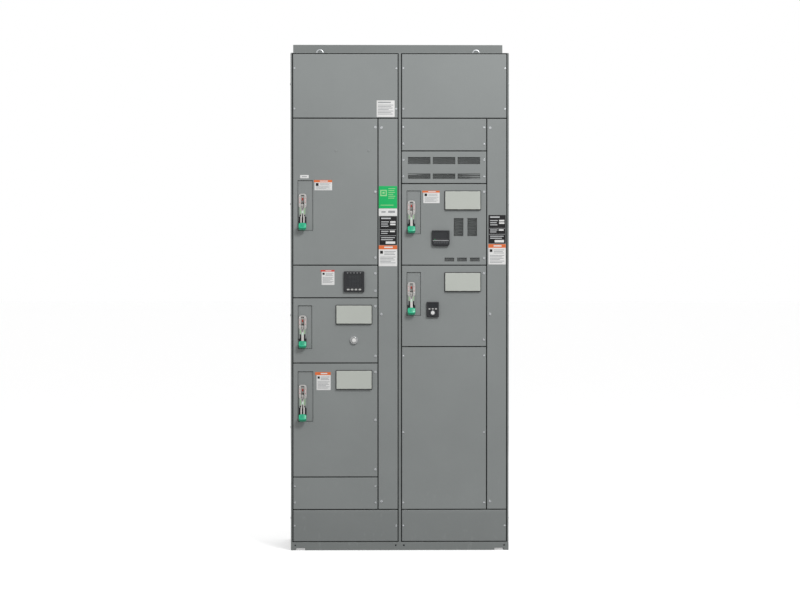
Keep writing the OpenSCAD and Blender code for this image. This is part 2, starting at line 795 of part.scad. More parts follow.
module control_components() {
    color([0.78, 0.76, 0.68]) {
        in_unit(LEFT, 1) {
            fuse_block(70, 28);
            terminal_strip(230, 28, 11);
        }
        in_unit(LEFT, 2) {
            control_transformer(282, 24);
            terminal_strip(318, 130, 14);
        }
        in_unit(LEFT, 3) {
            control_transformer(225, 30);
            fuse_block(230, 430);
            terminal_strip(334, 48, 12);
        }
        in_unit(LEFT, 0) terminal_strip(318, 260, 24);
        in_unit(RIGHT, 2) terminal_strip(70, 24, 9);
        in_unit(RIGHT, 3) terminal_strip(70, 24, 9);
    }
}

// ---------------------------------------------------------------------- doors

module unit_door(s, i) {
    color([0.56, 0.58, 0.58]) in_unit(s, i) translate([door_edge, 0, door_gap / 2])
        hinged_door(door_w, unit_h(s, i) - door_gap)
            translate([-door_edge, 0, -door_gap / 2]) {
                latch_holes(latch_x, latch_levels(unit_h(s, i)));
                children();
            }
}

// Opening in the door of mechanism k, in unit coordinates
module operator_cutout(k) {
    z = shaft_z(k) - unit_z(operators[k][0], operators[k][1]);
    translate([cutout_x(k), -1, z - cutout_h(k) / 2]) cube([cutout_w(k), 5, cutout_h(k)]);
}

module main_door() unit_door(LEFT, 0) operator_cutout(MAIN);

module meter_door() {
    unit_door(LEFT, 1) translate([meter_centre[0] - 46, -1, meter_centre[1] - 46]) cube([92, 5, 92]);
}

module starter_door() unit_door(LEFT, 2) {
    operator_cutout(STARTER);
    along_y([reset_centre[0], -1, reset_centre[1]], 15.2, 5);
}

module large_starter_door() unit_door(LEFT, 3) operator_cutout(LARGE);

// Vent openings of the drive door: x, z, width, height
drive_vents = [
    for (x = [252, 316]) [x, 136, 45, 84],
    for (x = [209, 268, 328]) [x, 18, 45, 17.5]
];

module drive_door() {
    unit_door(RIGHT, 2) {
        operator_cutout(DRIVE);
        for (v = drive_vents) translate([v[0], -1, v[1]]) cube([v[2], 5, v[3]]);
        translate([drive_pad[0] + 16, -1, drive_pad[1] + 14])
            cube([drive_pad[2] - 32, 5, drive_pad[3] - 28]);
    }
    color([0.56, 0.58, 0.58]) in_unit(RIGHT, 2)
        for (v = drive_vents) translate([v[0], 0, v[1]]) slats(v[2], v[3]);
}

module soft_starter_door() unit_door(RIGHT, 3) {
    operator_cutout(SOFT);
    translate([soft_pad[0] + 10, -1, soft_pad[1] + 10]) cube([soft_pad[2] - 20, 5, soft_pad[3] - 20]);
}

module wireway_door(s) {
    color([0.56, 0.58, 0.58]) right_hinged(s) hinged_door(wire_door_w, wire_door_h())
        latch_holes(section_w - door_edge - wire_latch_x, latch_levels(wire_door_h()));
}

module door_latches(s, i) {
    color([0.80, 0.81, 0.82]) in_unit(s, i) for (z = latch_levels(unit_h(s, i))) latch(latch_x, z);
}

module wireway_latches(s) {
    color([0.80, 0.81, 0.82]) in_section(s) for (z = latch_levels(wire_door_h()))
        latch(wire_latch_x, unit_floor + door_gap / 2 + z);
}

// --------------------------------------------------------------- door devices

// Pan-shaped cover plate that stands proud of the door
module control_plate(s, i) {
    color([0.76, 0.77, 0.74]) in_unit(s, i)
        translate([plate_x, -plate_size[2], unit_h(s, i) - plate_drop - plate_size[1]]) difference() {
            cube([plate_size[0], plate_size[2], plate_size[1]]);
            translate([2, 2, 2]) cube([plate_size[0] - 4, plate_size[2], plate_size[1] - 4]);
        }
}

key_z = -37;
key_size = [12, 3.5, 7];
function key_x(k) = (k - 1.5) * key_pitch;

module at_meter() in_unit(LEFT, 1) translate([meter_centre[0], 0, meter_centre[1]]) children();

module power_meter() {
    half = meter_side / 2;
    color([0.10, 0.10, 0.11]) at_meter() difference() {
        union() {
            translate([-half, -13, -half]) cube([meter_side, 13, meter_side]);
            translate([-45, -1, -45]) cube([90, 51, 90]);
        }
        // Display window
        translate([-half + 12, -14, -24]) cube([meter_side - 24, 2.5, 60]);
        // Key pockets
        for (k = [0 : 3]) translate([key_x(k) - key_size[0] / 2 - 0.4, -14, key_z - key_size[2] / 2 - 0.4])
            cube([key_size[0] + 0.8, 5.5, key_size[2] + 0.8]);
    }
}

module meter_key(k) {
    color([0.85, 0.86, 0.87]) at_meter()
        translate([key_x(k) - key_size[0] / 2, -14, key_z - key_size[2] / 2]) cube(key_size);
}

module at_reset() in_unit(LEFT, 2) translate([reset_centre[0], 0, reset_centre[1]]) children();
bezel_bore = button_r + 0.5;

module reset_bezel() {
    color([0.70, 0.71, 0.72]) at_reset() difference() {
        union() {
            along_y([0, -9, 0], 18, 9);
            along_y([0, -1, 0], 15, 24);
            translate([-20, 22, -15]) cube([40, 34, 30]);
        }
        along_y([0, -10, 0], bezel_bore, 30);
    }
}

module reset_button() {
    color([0.83, 0.84, 0.84]) at_reset() {
        along_y([0, -17, 0], button_r, 20);
        along_y([0, 2, 0], 5, 12);
    }
}

module drive_keypad() {
    color([0.12, 0.12, 0.14]) in_unit(RIGHT, 2) translate([drive_pad[0], 0, drive_pad[1]]) {
        w = drive_pad[2];
        h = drive_pad[3];
        difference() {
            union() {
                translate([0, -16, 0]) cube([w, 16, h]);
                translate([18, -1, 16]) cube([w - 36, 25, h - 32]);
            }
            translate([8, -17, h * 0.42]) cube([w - 16, 2.5, h * 0.48]);
        }
    }
}

module at_dial() in_unit(RIGHT, 3) translate([dial_centre[0], 0, dial_centre[1]]) children();

module soft_starter_keypad() {
    w = soft_pad[2];
    h = soft_pad[3];
    color([0.12, 0.12, 0.13]) difference() {
        in_unit(RIGHT, 3) translate([soft_pad[0], 0, soft_pad[1]]) difference() {
            union() {
                translate([0, -12, 0]) cube([w, 12, h]);
                translate([12, -1, 12]) cube([w - 24, 21, h - 24]);
            }
            translate([7, -13, h * 0.60]) cube([w - 14, 2.5, h * 0.30]);
        }
        at_dial() along_y([0, -13, 0], dial_r + 0.5, 5);
        at_dial() along_y([0, -9, 0], 4.05, 12);
    }
}

module keypad_dial() {
    color([0.30, 0.31, 0.33]) at_dial() {
        along_y([0, -16, 0], dial_r, 7.5);
        along_y([0, -9, 0], 4, 11);
    }
}

// -------------------------------------------------------------------- drawing

section_frames();
base_channels();
lifting_angle();
lifting_eyes();
roof_plates();
side_and_rear_panels();
wireway_covers();
blank_covers();
vent_cover();
cover_screws();
hinge_pins();
bus_bars();
bus_supports();
unit_pans();
operator_housings();
circuit_breakers();
contactors();
drive_module();
soft_starter_module();
control_components();
main_door();
meter_door();
starter_door();
large_starter_door();
drive_door();
soft_starter_door();
wireway_door(LEFT);  // left_wireway_door
wireway_door(RIGHT);  // right_wireway_door
door_latches(LEFT, 0);  // main_door_latches
door_latches(LEFT, 1);  // meter_door_latches
door_latches(LEFT, 2);  // starter_door_latches
door_latches(LEFT, 3);  // large_starter_door_latches
door_latches(RIGHT, 2);  // drive_door_latches
door_latches(RIGHT, 3);  // soft_starter_door_latches
wireway_latches(LEFT);  // left_wireway_latches
wireway_latches(RIGHT);  // right_wireway_latches
handle(MAIN);  // main_handle
handle(STARTER);  // starter_handle
handle(LARGE);  // large_starter_handle
handle(DRIVE);  // drive_handle
handle(SOFT);  // soft_starter_handle
toggle(MAIN);  // main_toggle
toggle(STARTER);  // starter_toggle
toggle(LARGE);  // large_starter_toggle
toggle(DRIVE);  // drive_toggle
toggle(SOFT);  // soft_starter_toggle
power_meter();
meter_key(0);  // meter_key_1
meter_key(1);  // meter_key_2
meter_key(2);  // meter_key_3
meter_key(3);  // meter_key_4
control_plate(LEFT, 2);  // starter_control_plate
control_plate(LEFT, 3);  // large_starter_control_plate
control_plate(RIGHT, 2);  // drive_control_plate
control_plate(RIGHT, 3);  // soft_starter_control_plate
reset_bezel();
reset_button();
drive_keypad();
soft_starter_keypad();
keypad_dial();
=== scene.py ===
"""Looks of a two-section, floor-standing power control cabinet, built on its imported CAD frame."""

import json
import math

import bmesh
import bpy
from mathutils import Matrix, Vector
from mathutils.geometry import tessellate_polygon


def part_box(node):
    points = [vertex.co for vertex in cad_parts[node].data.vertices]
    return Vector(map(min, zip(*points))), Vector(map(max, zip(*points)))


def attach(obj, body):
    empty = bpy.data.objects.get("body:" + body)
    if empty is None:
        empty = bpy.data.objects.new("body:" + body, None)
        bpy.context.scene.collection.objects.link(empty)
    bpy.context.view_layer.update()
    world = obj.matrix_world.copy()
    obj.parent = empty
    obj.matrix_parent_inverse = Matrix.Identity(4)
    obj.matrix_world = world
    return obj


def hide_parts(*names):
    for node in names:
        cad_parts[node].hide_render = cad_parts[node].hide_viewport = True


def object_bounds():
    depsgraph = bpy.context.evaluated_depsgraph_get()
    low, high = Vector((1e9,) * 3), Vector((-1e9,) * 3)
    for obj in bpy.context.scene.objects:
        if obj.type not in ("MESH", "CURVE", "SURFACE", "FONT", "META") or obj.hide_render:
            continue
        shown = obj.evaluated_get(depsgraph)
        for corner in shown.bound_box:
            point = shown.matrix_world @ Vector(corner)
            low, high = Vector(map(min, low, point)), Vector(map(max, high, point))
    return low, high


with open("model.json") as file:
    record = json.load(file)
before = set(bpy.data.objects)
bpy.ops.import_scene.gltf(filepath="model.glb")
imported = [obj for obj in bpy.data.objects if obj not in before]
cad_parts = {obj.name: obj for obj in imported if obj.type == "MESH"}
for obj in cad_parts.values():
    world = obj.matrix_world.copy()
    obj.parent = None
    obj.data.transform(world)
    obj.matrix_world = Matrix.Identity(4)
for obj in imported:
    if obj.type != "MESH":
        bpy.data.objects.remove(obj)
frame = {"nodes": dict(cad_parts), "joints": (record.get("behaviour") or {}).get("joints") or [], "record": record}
cad_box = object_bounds()
MM = 0.001
JOINTS = {j["name"]: Vector(j["pos_m"]) / MM for j in frame["joints"] if "pos_m" in j}
HANDLES = ["main", "starter", "large_starter", "drive", "soft_starter"]
UNIT_DOORS = [
    "main_door", "meter_door", "starter_door", "large_starter_door", "drive_door",
    "soft_starter_door",
]
WIREWAY_DOORS = ["left_wireway_door", "right_wireway_door"]


def box_mm(node):
    """Lowest and highest corner of a CAD node, in millimetres."""
    low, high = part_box(node)
    return low / MM, high / MM


def assign(target, **settings):
    for name, value in settings.items():
        setattr(target, name, value)
    return target


def add_object(name, data):
    obj = bpy.data.objects.new(name, data)
    bpy.context.scene.collection.objects.link(obj)
    return obj


def hand_in(obj, body):
    """Says which body a piece rides on."""
    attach(obj, body)


# ---- materials

# Colour sockets of the mix node
MIX_A, MIX_B, MIX_RESULT = 6, 7, 2


def add_node(tree, kind, inputs, output=0, **settings):
    """Adds a shader node, sets its inputs to values or other sockets, and gives one output."""
    node = assign(tree.nodes.new("ShaderNode" + kind), **settings)
    for key, value in inputs.items():
        socket = node.inputs[key]
        if isinstance(value, bpy.types.NodeSocket):
            tree.links.new(value, socket)
        elif socket.type == "RGBA":
            socket.default_value = (*value, 1)
        else:
            socket.default_value = value
    return node.outputs[output]


class Look:
    """A procedural material that is being wired up. Lengths in it are metres."""

    def __init__(self, name):
        self.material = bpy.data.materials.new(name)
        self.material.use_nodes = True
        self.tree = self.material.node_tree
        self.surface = self.tree.nodes["Principled BSDF"]
        self.place = add_node(self.tree, "TexCoord", {}, "Object")

    def set(self, **values):
        for name, value in values.items():
            self.surface.inputs[name.replace("_", " ")].default_value = value
        return self

    def noise(self, scale, detail=2.0, stretch=(1, 1, 1)):
        place = add_node(self.tree, "Mapping", {"Vector": self.place, "Scale": stretch})
        inputs = {"Vector": place, "Scale": scale, "Detail": detail}
        return add_node(self.tree, "TexNoise", inputs, "Fac")

    def height(self, low, high):
        """0 at height low, 1 at height high, in metres above the floor."""
        z = add_node(self.tree, "SeparateXYZ", {0: self.place}, "Z")
        return self.between(z, (low, high), (0, 1))

    def between(self, value, source, target):
        names = ("Value", "From Min", "From Max", "To Min", "To Max")
        inputs = dict(zip(names, (value, *source, *target)))
        return add_node(self.tree, "MapRange", inputs, "Result")

    def times(self, a, b):
        return add_node(self.tree, "Math", {0: a, 1: b}, operation="MULTIPLY")

    def mix(self, amount, first, second, way="MIX"):
        """Mixes two colours, each a tuple or a socket."""
        inputs = {"Factor": amount, MIX_A: first, MIX_B: second}
        return add_node(self.tree, "Mix", inputs, MIX_RESULT, data_type="RGBA", blend_type=way)

    def colour(self, value):
        self.tree.links.new(value, self.surface.inputs["Base Color"])
        return self

    def roughness(self, value, low, high):
        rough = self.between(value, (0.3, 0.7), (low, high))
        self.tree.links.new(rough, self.surface.inputs["Roughness"])
        return self

    def bump(self, value, strength, depth):
        inputs = {"Strength": strength, "Distance": depth, "Height": value}
        normal = add_node(self.tree, "Bump", inputs, "Normal")
        self.tree.links.new(normal, self.surface.inputs["Normal"])
        return self


def shade(colour, factor):
    return tuple(min(1.0, c * factor) for c in colour)


def powder_coat(name, colour, scuffs=0.0, bottom_darkening=1.0, worn=False):
    """Baked paint: orange peel, faint patchiness, and scuffs that gather near the floor. Between
    0.20 and 0.17 m above the floor a darkening sets in, with a little random spread, which makes it
    darker towards the bottom by the given factor. Worn paint is rubbed through in places."""
    look = Look(name)
    patch = look.between(look.noise(2.6, 4), (0.35, 0.65), (0, 1))
    base = look.mix(patch, shade(colour, 0.965), shade(colour, 1.03))
    speck = look.between(look.noise(700, 2), (0.62, 0.75), (0, 0.22))
    base = look.mix(speck, base, shade(colour, 0.8))
    if worn:
        rubbed = look.between(look.noise(38, 5), (0.50, 0.62), (0.12, 0.75))
        base = look.mix(rubbed, base, shade(colour, 1.75))
    if scuffs:
        marks = look.between(look.noise(46, 6, (1, 1, 0.45)), (0.62, 0.72), (0, scuffs))
        base = look.mix(look.times(marks, look.height(0.42, 0.0)), base, shade(colour, 1.35))
    # Darker towards the bottom, fading in between 0.20 and 0.17 m above the floor
    if bottom_darkening < 1:
        film = look.mix(look.noise(9, 3), (bottom_darkening,) * 3, (bottom_darkening + 0.04,) * 3)
        base = look.mix(look.height(0.20, 0.17), base, look.mix(1, base, film, "MULTIPLY"))
    look.colour(base).roughness(look.noise(30, 3), 0.40, 0.52)
    look.set(Specular_IOR_Level=0.42)
    return look.bump(look.noise(420, 2), 0.22, 0.0004).material


def plated_steel(name, colour, low=0.24, high=0.40):
    """Zinc or nickel plate: cloudy tint and fine draw marks."""
    look = Look(name).set(Metallic=1.0)
    look.colour(look.mix(look.noise(130, 3), shade(colour, 0.86), shade(colour, 1.08)))
    look.roughness(look.noise(260, 3), low, high)
    return look.bump(look.noise(900, 2, (1, 1, 0.12)), 0.12, 0.0002).material


def moulded(name, colour, low=0.42, high=0.55, coat=0.0):
    """Moulded plastic: fine spark-eroded grain and slight flow marks."""
    look = Look(name).set(Coat_Weight=coat, Coat_Roughness=0.2)
    look.colour(look.mix(look.noise(22, 3), shade(colour, 0.92), shade(colour, 1.06)))
    look.roughness(look.noise(180, 2), low, high)
    return look.bump(look.noise(1600, 1), 0.14, 0.0002).material


def vinyl(name, colour):
    """Printed sticker film: ink mottle and a slightly waxy face."""
    look = Look(name)
    look.colour(look.mix(look.noise(320, 3), shade(colour, 0.93), shade(colour, 1.05)))
    look.roughness(look.noise(60, 2), 0.30, 0.44).set(Specular_IOR_Level=0.3)
    return look.bump(look.noise(500, 1), 0.05, 0.0001).material


def dark_window(name, colour):
    """Smoked display window with faint smears."""
    look = Look(name).set(Coat_Weight=0.6, Coat_Roughness=0.06)
    look.colour(look.mix(look.noise(40, 2), shade(colour, 0.8), shade(colour, 1.3)))
    return look.roughness(look.noise(90, 4, (1, 1, 0.3)), 0.06, 0.20).material


def bare_copper(name):
    look = Look(name).set(Metallic=1.0)
    tarnish = look.between(look.noise(16, 5), (0.45, 0.7), (0, 0.6))
    look.colour(look.mix(tarnish, (0.86, 0.45, 0.27), (0.50, 0.27, 0.18)))
    look.roughness(look.noise(70, 3), 0.26, 0.42)
    return look.bump(look.noise(420, 2, (0.1, 1, 1)), 0.10, 0.0002).material


def rubber(name):
    look = Look(name)
    look.colour(look.mix(look.noise(60, 3), (0.010, 0.011, 0.012), (0.028, 0.029, 0.031)))
    look.roughness(look.noise(120, 2), 0.65, 0.85)
    return look.bump(look.noise(800, 2), 0.25, 0.0003).material


def filter_mat(name, colour):
    """Open-cell filter mat: dark cells in a lighter web, with dust in patches."""
    look = Look(name)
    cells = look.noise(1300, 2)
    dust = look.mix(look.noise(24, 3), shade(colour, 0.88), shade(colour, 1.12))
    web = look.mix(look.between(cells, (0.40, 0.60), (0, 1)), shade(colour, 0.45), dust)
    look.colour(web).roughness(look.noise(90, 2), 0.82, 0.95)
    return look.bump(cells, 0.5, 0.0008).material


PANEL = powder_coat("panel_paint", (0.272, 0.289, 0.286), scuffs=0.35)
# Cover paint, darker towards the bottom
COVER = powder_coat("cover_paint", (0.272, 0.289, 0.286), scuffs=0.35, bottom_darkening=0.86)
FRAME = powder_coat("frame_paint", (0.232, 0.247, 0.243), scuffs=0.6)
PLATE = powder_coat("plate_paint", (0.535, 0.560, 0.515))
WORN_PAINT = powder_coat("worn_paint_edges", (0.262, 0.279, 0.276), worn=True)
WORN_PLATE = powder_coat("worn_plate_edges", (0.50, 0.52, 0.48), worn=True)
WHITE_PAN = powder_coat("white_pan_paint", (0.72, 0.74, 0.72))
ZINC = plated_steel("zinc_plate", (0.80, 0.82, 0.84))
BRIGHT = plated_steel("bright_metal", (0.86, 0.87, 0.88), 0.12, 0.24)
BRASS = plated_steel("brass_screw", (0.80, 0.62, 0.30))
COPPER = bare_copper("bus_copper")
RED_MOULDED = moulded("red_insulator", (0.34, 0.035, 0.025))
BLACK = moulded("black_plastic", (0.022, 0.023, 0.026))
DARK = moulded("dark_grey_plastic", (0.070, 0.074, 0.080))
LIGHT = moulded("light_grey_plastic", (0.62, 0.62, 0.60))
BEIGE = moulded("beige_plastic", (0.55, 0.52, 0.42))
PALE = moulded("pale_lever_plastic", (0.54, 0.52, 0.50), coat=0.3)
MINT = moulded("mint_inlay", (0.50, 0.66, 0.55))
SAGE = moulded("sage_guard", (0.27, 0.31, 0.28))
GREEN = moulded("grip_green", (0.010, 0.520, 0.270), 0.28, 0.42, coat=0.4)
# Darker copy of the grip green: painted shade on the grip's collar and ribs
SHADED_GREEN = moulded("grip_green_painted_shade", (0.005, 0.26, 0.15))
RUBBER = rubber("gasket_rubber")
FILTER = filter_mat("filter_mat", (0.150, 0.156, 0.155))
PALE_FILTER = filter_mat("pale_filter_mat", (0.33, 0.34, 0.34))
SCREEN = dark_window("display_window", (0.012, 0.014, 0.017))
GHOST = moulded("unlit_segments", (0.040, 0.044, 0.047))
WHITE_INK = vinyl("white_film", (0.82, 0.82, 0.81))
BLACK_INK = vinyl("black_film", (0.016, 0.016, 0.017))
GREY_INK = vinyl("grey_ink", (0.36, 0.37, 0.38))
PALE_INK = vinyl("pale_ink", (0.60, 0.61, 0.62))
GREEN_INK = vinyl("green_film", (0.014, 0.50, 0.14))
LIME_INK = vinyl("lime_ink", (0.34, 0.70, 0.32))
ROSE_INK = vinyl("rose_ink", (0.56, 0.30, 0.29))
ORANGE_INK = vinyl("orange_film", (0.80, 0.185, 0.055))
RED_INK = vinyl("red_film", (0.70, 0.075, 0.05))
JACKETS = {name: moulded("cable_" + name, colour, 0.3, 0.45) for name, colour in (
    ("black", (0.018, 0.018, 0.02)), ("red", (0.42, 0.02, 0.015)),
    ("blue", (0.02, 0.07, 0.34)), ("green", (0.02, 0.24, 0.05)))}

# Material and edge rounding in millimetres of the CAD nodes that stay on show
CAD_LOOKS = {
    "section_frames": (FRAME, 0.4), "base_channels": (FRAME, 0.7), "lifting_angle": (FRAME, 1.0),
    "roof_plates": (PANEL, 0.3), "side_and_rear_panels": (PANEL, 0.5),
    "wireway_covers": (COVER, 0.5), "blank_covers": (PANEL, 0.5), "vent_cover": (PANEL, 0),
    "operator_housings": (PANEL, 0.4), "cover_screws": (ZINC, 0.3), "hinge_pins": (ZINC, 0.3),
    "bus_bars": (COPPER, 0.6), "bus_supports": (RED_MOULDED, 0.8), "unit_pans": (WHITE_PAN, 0.4),
    "circuit_breakers": (BLACK, 1.0), "contactors": (DARK, 1.0), "drive_module": (DARK, 0),
    "soft_starter_module": (DARK, 0), "control_components": (BEIGE, 0.4),
    "reset_bezel": (BRIGHT, 0.8), "reset_button": (LIGHT, 1.2), "keypad_dial": (DARK, 1.0),
    "drive_door": (PANEL, 0),
}


def look_of(node):
    """Material and edge rounding of a CAD node, by its own entry or by the kind of its name."""
    if node in CAD_LOOKS:
        return CAD_LOOKS[node]
    if node.endswith("_latches"):
        return ZINC, 0.3
    if node.endswith("_door"):
        return PANEL, 0.5
    if node.endswith("_toggle"):
        return DARK, 0.8
    if node.endswith("_control_plate"):
        return PLATE, 1.2
    return LIGHT, 0.5


def round_edges(obj, width):
    """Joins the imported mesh's faces and gives its edges a small radius, in the last material."""
    kinds = [("join", "WELD", {"merge_threshold": 1e-5}),
             ("flat", "DECIMATE", {"decimate_type": "DISSOLVE", "angle_limit": math.radians(0.4)})]
    if width:
        kinds.append(("edge", "BEVEL", {
            "width": width * MM, "segments": 2, "limit_method": "ANGLE",
            "angle_limit": math.radians(35), "use_clamp_overlap": False,
            "material": len(obj.data.materials) - 1}))
    kinds.append(("normals", "WEIGHTED_NORMAL", {"keep_sharp": True}))
    for name, kind, settings in kinds:
        assign(obj.modifiers.new(name, kind), **settings)


def dress_cad():
    for name, obj in frame["nodes"].items():
        material, width = look_of(name)
        mesh = obj.data
        mesh.materials.clear()
        mesh.materials.append(material)
        for polygon in mesh.polygons:
            assign(polygon, use_smooth=True, material_index=0)
        if "custom_normal" in mesh.attributes:
            mesh.attributes.remove(mesh.attributes["custom_normal"])
        if width and material in (PANEL, COVER, FRAME, PLATE):
            mesh.materials.append(WORN_PLATE if material == PLATE else WORN_PAINT)
        round_edges(obj, width)


# ---- mesh work

ACROSS, INWARD, UP = (1, 0, 0), (0, 1, 0), (0, 0, 1)
EDGE_STEPS = 3


class Round:
    """Rounded rectangle in X and Z, in millimetres. radius may be one number or (bottom left,
    bottom right, top right, top left)."""

    def __init__(self, x0, z0, x1, z1, radius, steps=5):
        radii = radius if isinstance(radius, tuple) else (radius,) * 4
        corners = ((x0, z0, 1, 1), (x1, z0, -1, 1), (x1, z1, -1, -1), (x0, z1, 1, -1))
        self.corners, self.steps = list(zip(corners, radii)), steps

    def loop(self, inset):
        """Outline shrunk by inset, anticlockwise from the bottom left."""
        points = []
        for quarter, ((x, z, right, up), radius) in enumerate(self.corners, 2):
            bend = max(radius - inset, 0.0)
            cx, cz = x + right * (inset + bend), z + up * (inset + bend)
            for step in range(self.steps + 1):
                angle = math.pi / 2 * (quarter + step / self.steps)
                points.append((cx + bend * math.cos(angle), cz + bend * math.sin(angle)))
        return points


class Keyhole:
    """Guide plate outline: wide with a round top above the shaft, narrow below it."""

    wide, narrow, top, bottom = 18.6, 12.6, 55.0, -54.0
    shoulder, neck_top = -4, -10

    def loop(self, inset):
        half, neck, dome, foot = (v - inset for v in (self.wide, self.narrow, 13, 4))
        upper = Round(-half, self.shoulder, half, self.top - inset, (0, 0, dome, dome)).loop(0)
        lower = Round(-neck, self.bottom + inset, neck, self.neck_top, (foot, foot, 0, 0)).loop(0)
        steps = len(upper) // 4
        return [*lower[:2 * steps], (neck, self.neck_top), (half, self.shoulder),
                *upper[2 * steps:], (-half, self.shoulder), (-neck, self.neck_top)]


def disc(x, z, radius, steps=6):
    return Round(x - radius, z - radius, x + radius, z + radius, radius, steps)


class Piece:
    """A mesh built in millimetres from several closed shapes, riding on one body."""

    def __init__(self, name, body, place=None):
        self.name, self.body = name, body
        self.place = place or Matrix.Identity(4)
        self.mesh = bmesh.new()
        self.materials = []

    def origin(self, x, y, z):
        """Measures what is added next from this point."""
        self.place = Matrix.Translation((x, y, z))

    def slot(self, material):
        if material not in self.materials:
            self.materials.append(material)
        return self.materials.index(material)

    def prism(self, outline, front, back, material, edge=0.0, holes=(), turn=None):
        """A plate between y = front and y = back, with its front edges rounded by edge."""
        rings = [(front, 0.0)]
        if edge:
            turns = [math.pi / 2 * (1 - k / EDGE_STEPS) for k in range(EDGE_STEPS + 1)]
            rings = [(front + edge * (1 - math.sin(a)), edge * (1 - math.cos(a))) for a in turns]
        rings.append((back, 0.0))
        index = self.slot(material)
        matrix = self.place @ (turn or Matrix.Identity(4))
        walls = []
        for shape, sign in [(outline, 1)] + [(hole, -1) for hole in holes]:
            loops = [[self.mesh.verts.new(matrix @ Vector((x, y, z)))
                      for x, z in shape.loop(sign * inset)] for y, inset in rings]
            for first, second in zip(loops, loops[1:]):
                for k in range(len(first)):
                    after = (k + 1) % len(first)
                    quad = [first[k], first[after], second[after], second[k]]
                    self.face(quad[::sign], index)
            walls.append(loops)
        for end in (0, -1):
            self.cap([loops[end] for loops in walls], end < 0, index, matrix.inverted())

    def slab(self, x0, z0, x1, z1, radius, front, back, material, edge=0.0, steps=5):
        """A prism whose outline is a rounded rectangle."""
        self.prism(Round(x0, z0, x1, z1, radius, steps), front, back, material, edge)

    def slabs(self, *rows):
        for row in rows:
            self.slab(*row)

    def drum(self, start, radius, length, material, edge=0.0, sides=32, axis=INWARD):
        """A cylinder from start along axis, with its first end rounded by edge."""
        turn = Vector(INWARD).rotation_difference(Vector(axis)).to_matrix().to_4x4()
        turn = Matrix.Translation(Vector(start)) @ turn
        self.prism(disc(0, 0, radius, sides // 4), 0, length, material, edge, (), turn)

    def face(self, verts, index):
        try:
            face = self.mesh.faces.new(verts)
        except ValueError:
            return
        face.material_index = index
        face.smooth = True

    def cap(self, loops, flip, index, inverse):
        """Closes a ring of loops: the first is the outline and the others are holes in it."""
        verts = [v for loop in loops for v in loop]
        flat = [[(inverse @ v.co).xz.to_3d() for v in loop] for loop in loops]
        for triangle in tessellate_polygon(flat):
            corners = [verts[k] for k in triangle]
            a, b, c = ((inverse @ v.co).xz for v in corners)
            if ((b - a).cross(c - a) < 0) != flip:
                corners.reverse()
            self.face(corners, index)

    def finish(self, slot, *replaced):
        """Links the piece: slot is not used, replaced the CAD nodes it hides."""
        self.mesh.transform(Matrix.Scale(MM, 4))
        bmesh.ops.remove_doubles(self.mesh, verts=self.mesh.verts, dist=1e-7)
        bmesh.ops.recalc_face_normals(self.mesh, faces=self.mesh.faces)
        mesh = bpy.data.meshes.new(self.name)
        self.mesh.to_mesh(mesh)
        self.mesh.free()
        for material in self.materials:
            mesh.materials.append(material)
        mesh.set_sharp_from_angle(angle=math.radians(32))
        obj = add_object(self.name, mesh)
        hand_in(obj, self.body)
        if replaced:
            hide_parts(*replaced)


# ---- labels

# Thickness of a film and of the print on it, with later blocks standing a little prouder
FILM = 0.25
INK = 0.10
INK_STEP = 0.03
# How far a film or a block reaches into what it is stuck on
STICK = 0.05


def label(piece, x, z, width, height, face, base, blocks):
    """A sticker with its top left corner at x, z on a face at y = face. Each block is (left, top,
    width, height, material) in millimetres from that corner."""
    piece.origin(x, face - FILM, z)
    piece.slab(0, -height, width, 0, 1.5, 0, FILM + STICK, base, 0.1, 3)
    for order, (left, top, w, h, ink) in enumerate(blocks):
        proud = INK + INK_STEP * min(order, 3)
        piece.slab(left, -top - h, left + w, -top, min(0.6, h / 3), -proud, STICK, ink, 0, 2)


def text_rows(left, top, width, rows, pitch, thick, ink, short=(1.0, 0.86, 0.95, 0.7)):
    """Plain bars that stand for lines of print."""
    return [(left, top + k * pitch, width * short[k % len(short)], thick, ink)
            for k in range(rows)]


def spread(width, height, blocks):
    """Blocks given in shares of a label's width and height, in millimetres."""
    return [(left * width, top * height, w * width, h * height, ink)
            for left, top, w, h, ink in blocks]


def notice(piece, x, z, width, height, face, head, head_h, overhang=0.0):
    """A notice: coloured head over a white body with plain grey bars."""
    top, over = head_h / height, overhang / width
    label(piece, x, z, width, height, face, WHITE_INK, spread(width, height, [
        (-over, 0, 1 + over, top, head),
        (0.30, 0.30 * top, 0.46, 0.36 * top, WHITE_INK),
        (0.07, top + 0.07, 0.16, 0.16 * width / height, BLACK_INK),
        *text_rows(0.30, top + 0.09, 0.62, 3, 0.075, 0.03, GREY_INK),
        *text_rows(0.08, top + 0.36, 0.84, int((0.60 - top) / 0.07), 0.07, 0.028, GREY_INK),
    ]))


def nameplate(piece, x, z, width, height, face):
    """A black data plate with plain white bars and a white entry field."""
    label(piece, x, z, width, height, face, BLACK_INK, spread(width, height, [
        (0.10, 0.05, 0.55, 0.045, PALE_INK),
        *text_rows(0.10, 0.18, 0.44, 3, 0.075, 0.028, PALE_INK),
        *text_rows(0.62, 0.17, 0.30, 2, 0.085, 0.055, WHITE_INK, (1, 1)),
        (0.04, 0.46, 0.92, 0.010, PALE_INK),
        *text_rows(0.10, 0.51, 0.42, 2, 0.07, 0.028, PALE_INK),
        (0.60, 0.50, 0.28, 0.05, WHITE_INK),
        (0.04, 0.67, 0.92, 0.010, PALE_INK),
        *text_rows(0.10, 0.73, 0.78, 2, 0.07, 0.028, PALE_INK),
        (0.36, 0.875, 0.54, 0.085, WHITE_INK),
    ]))


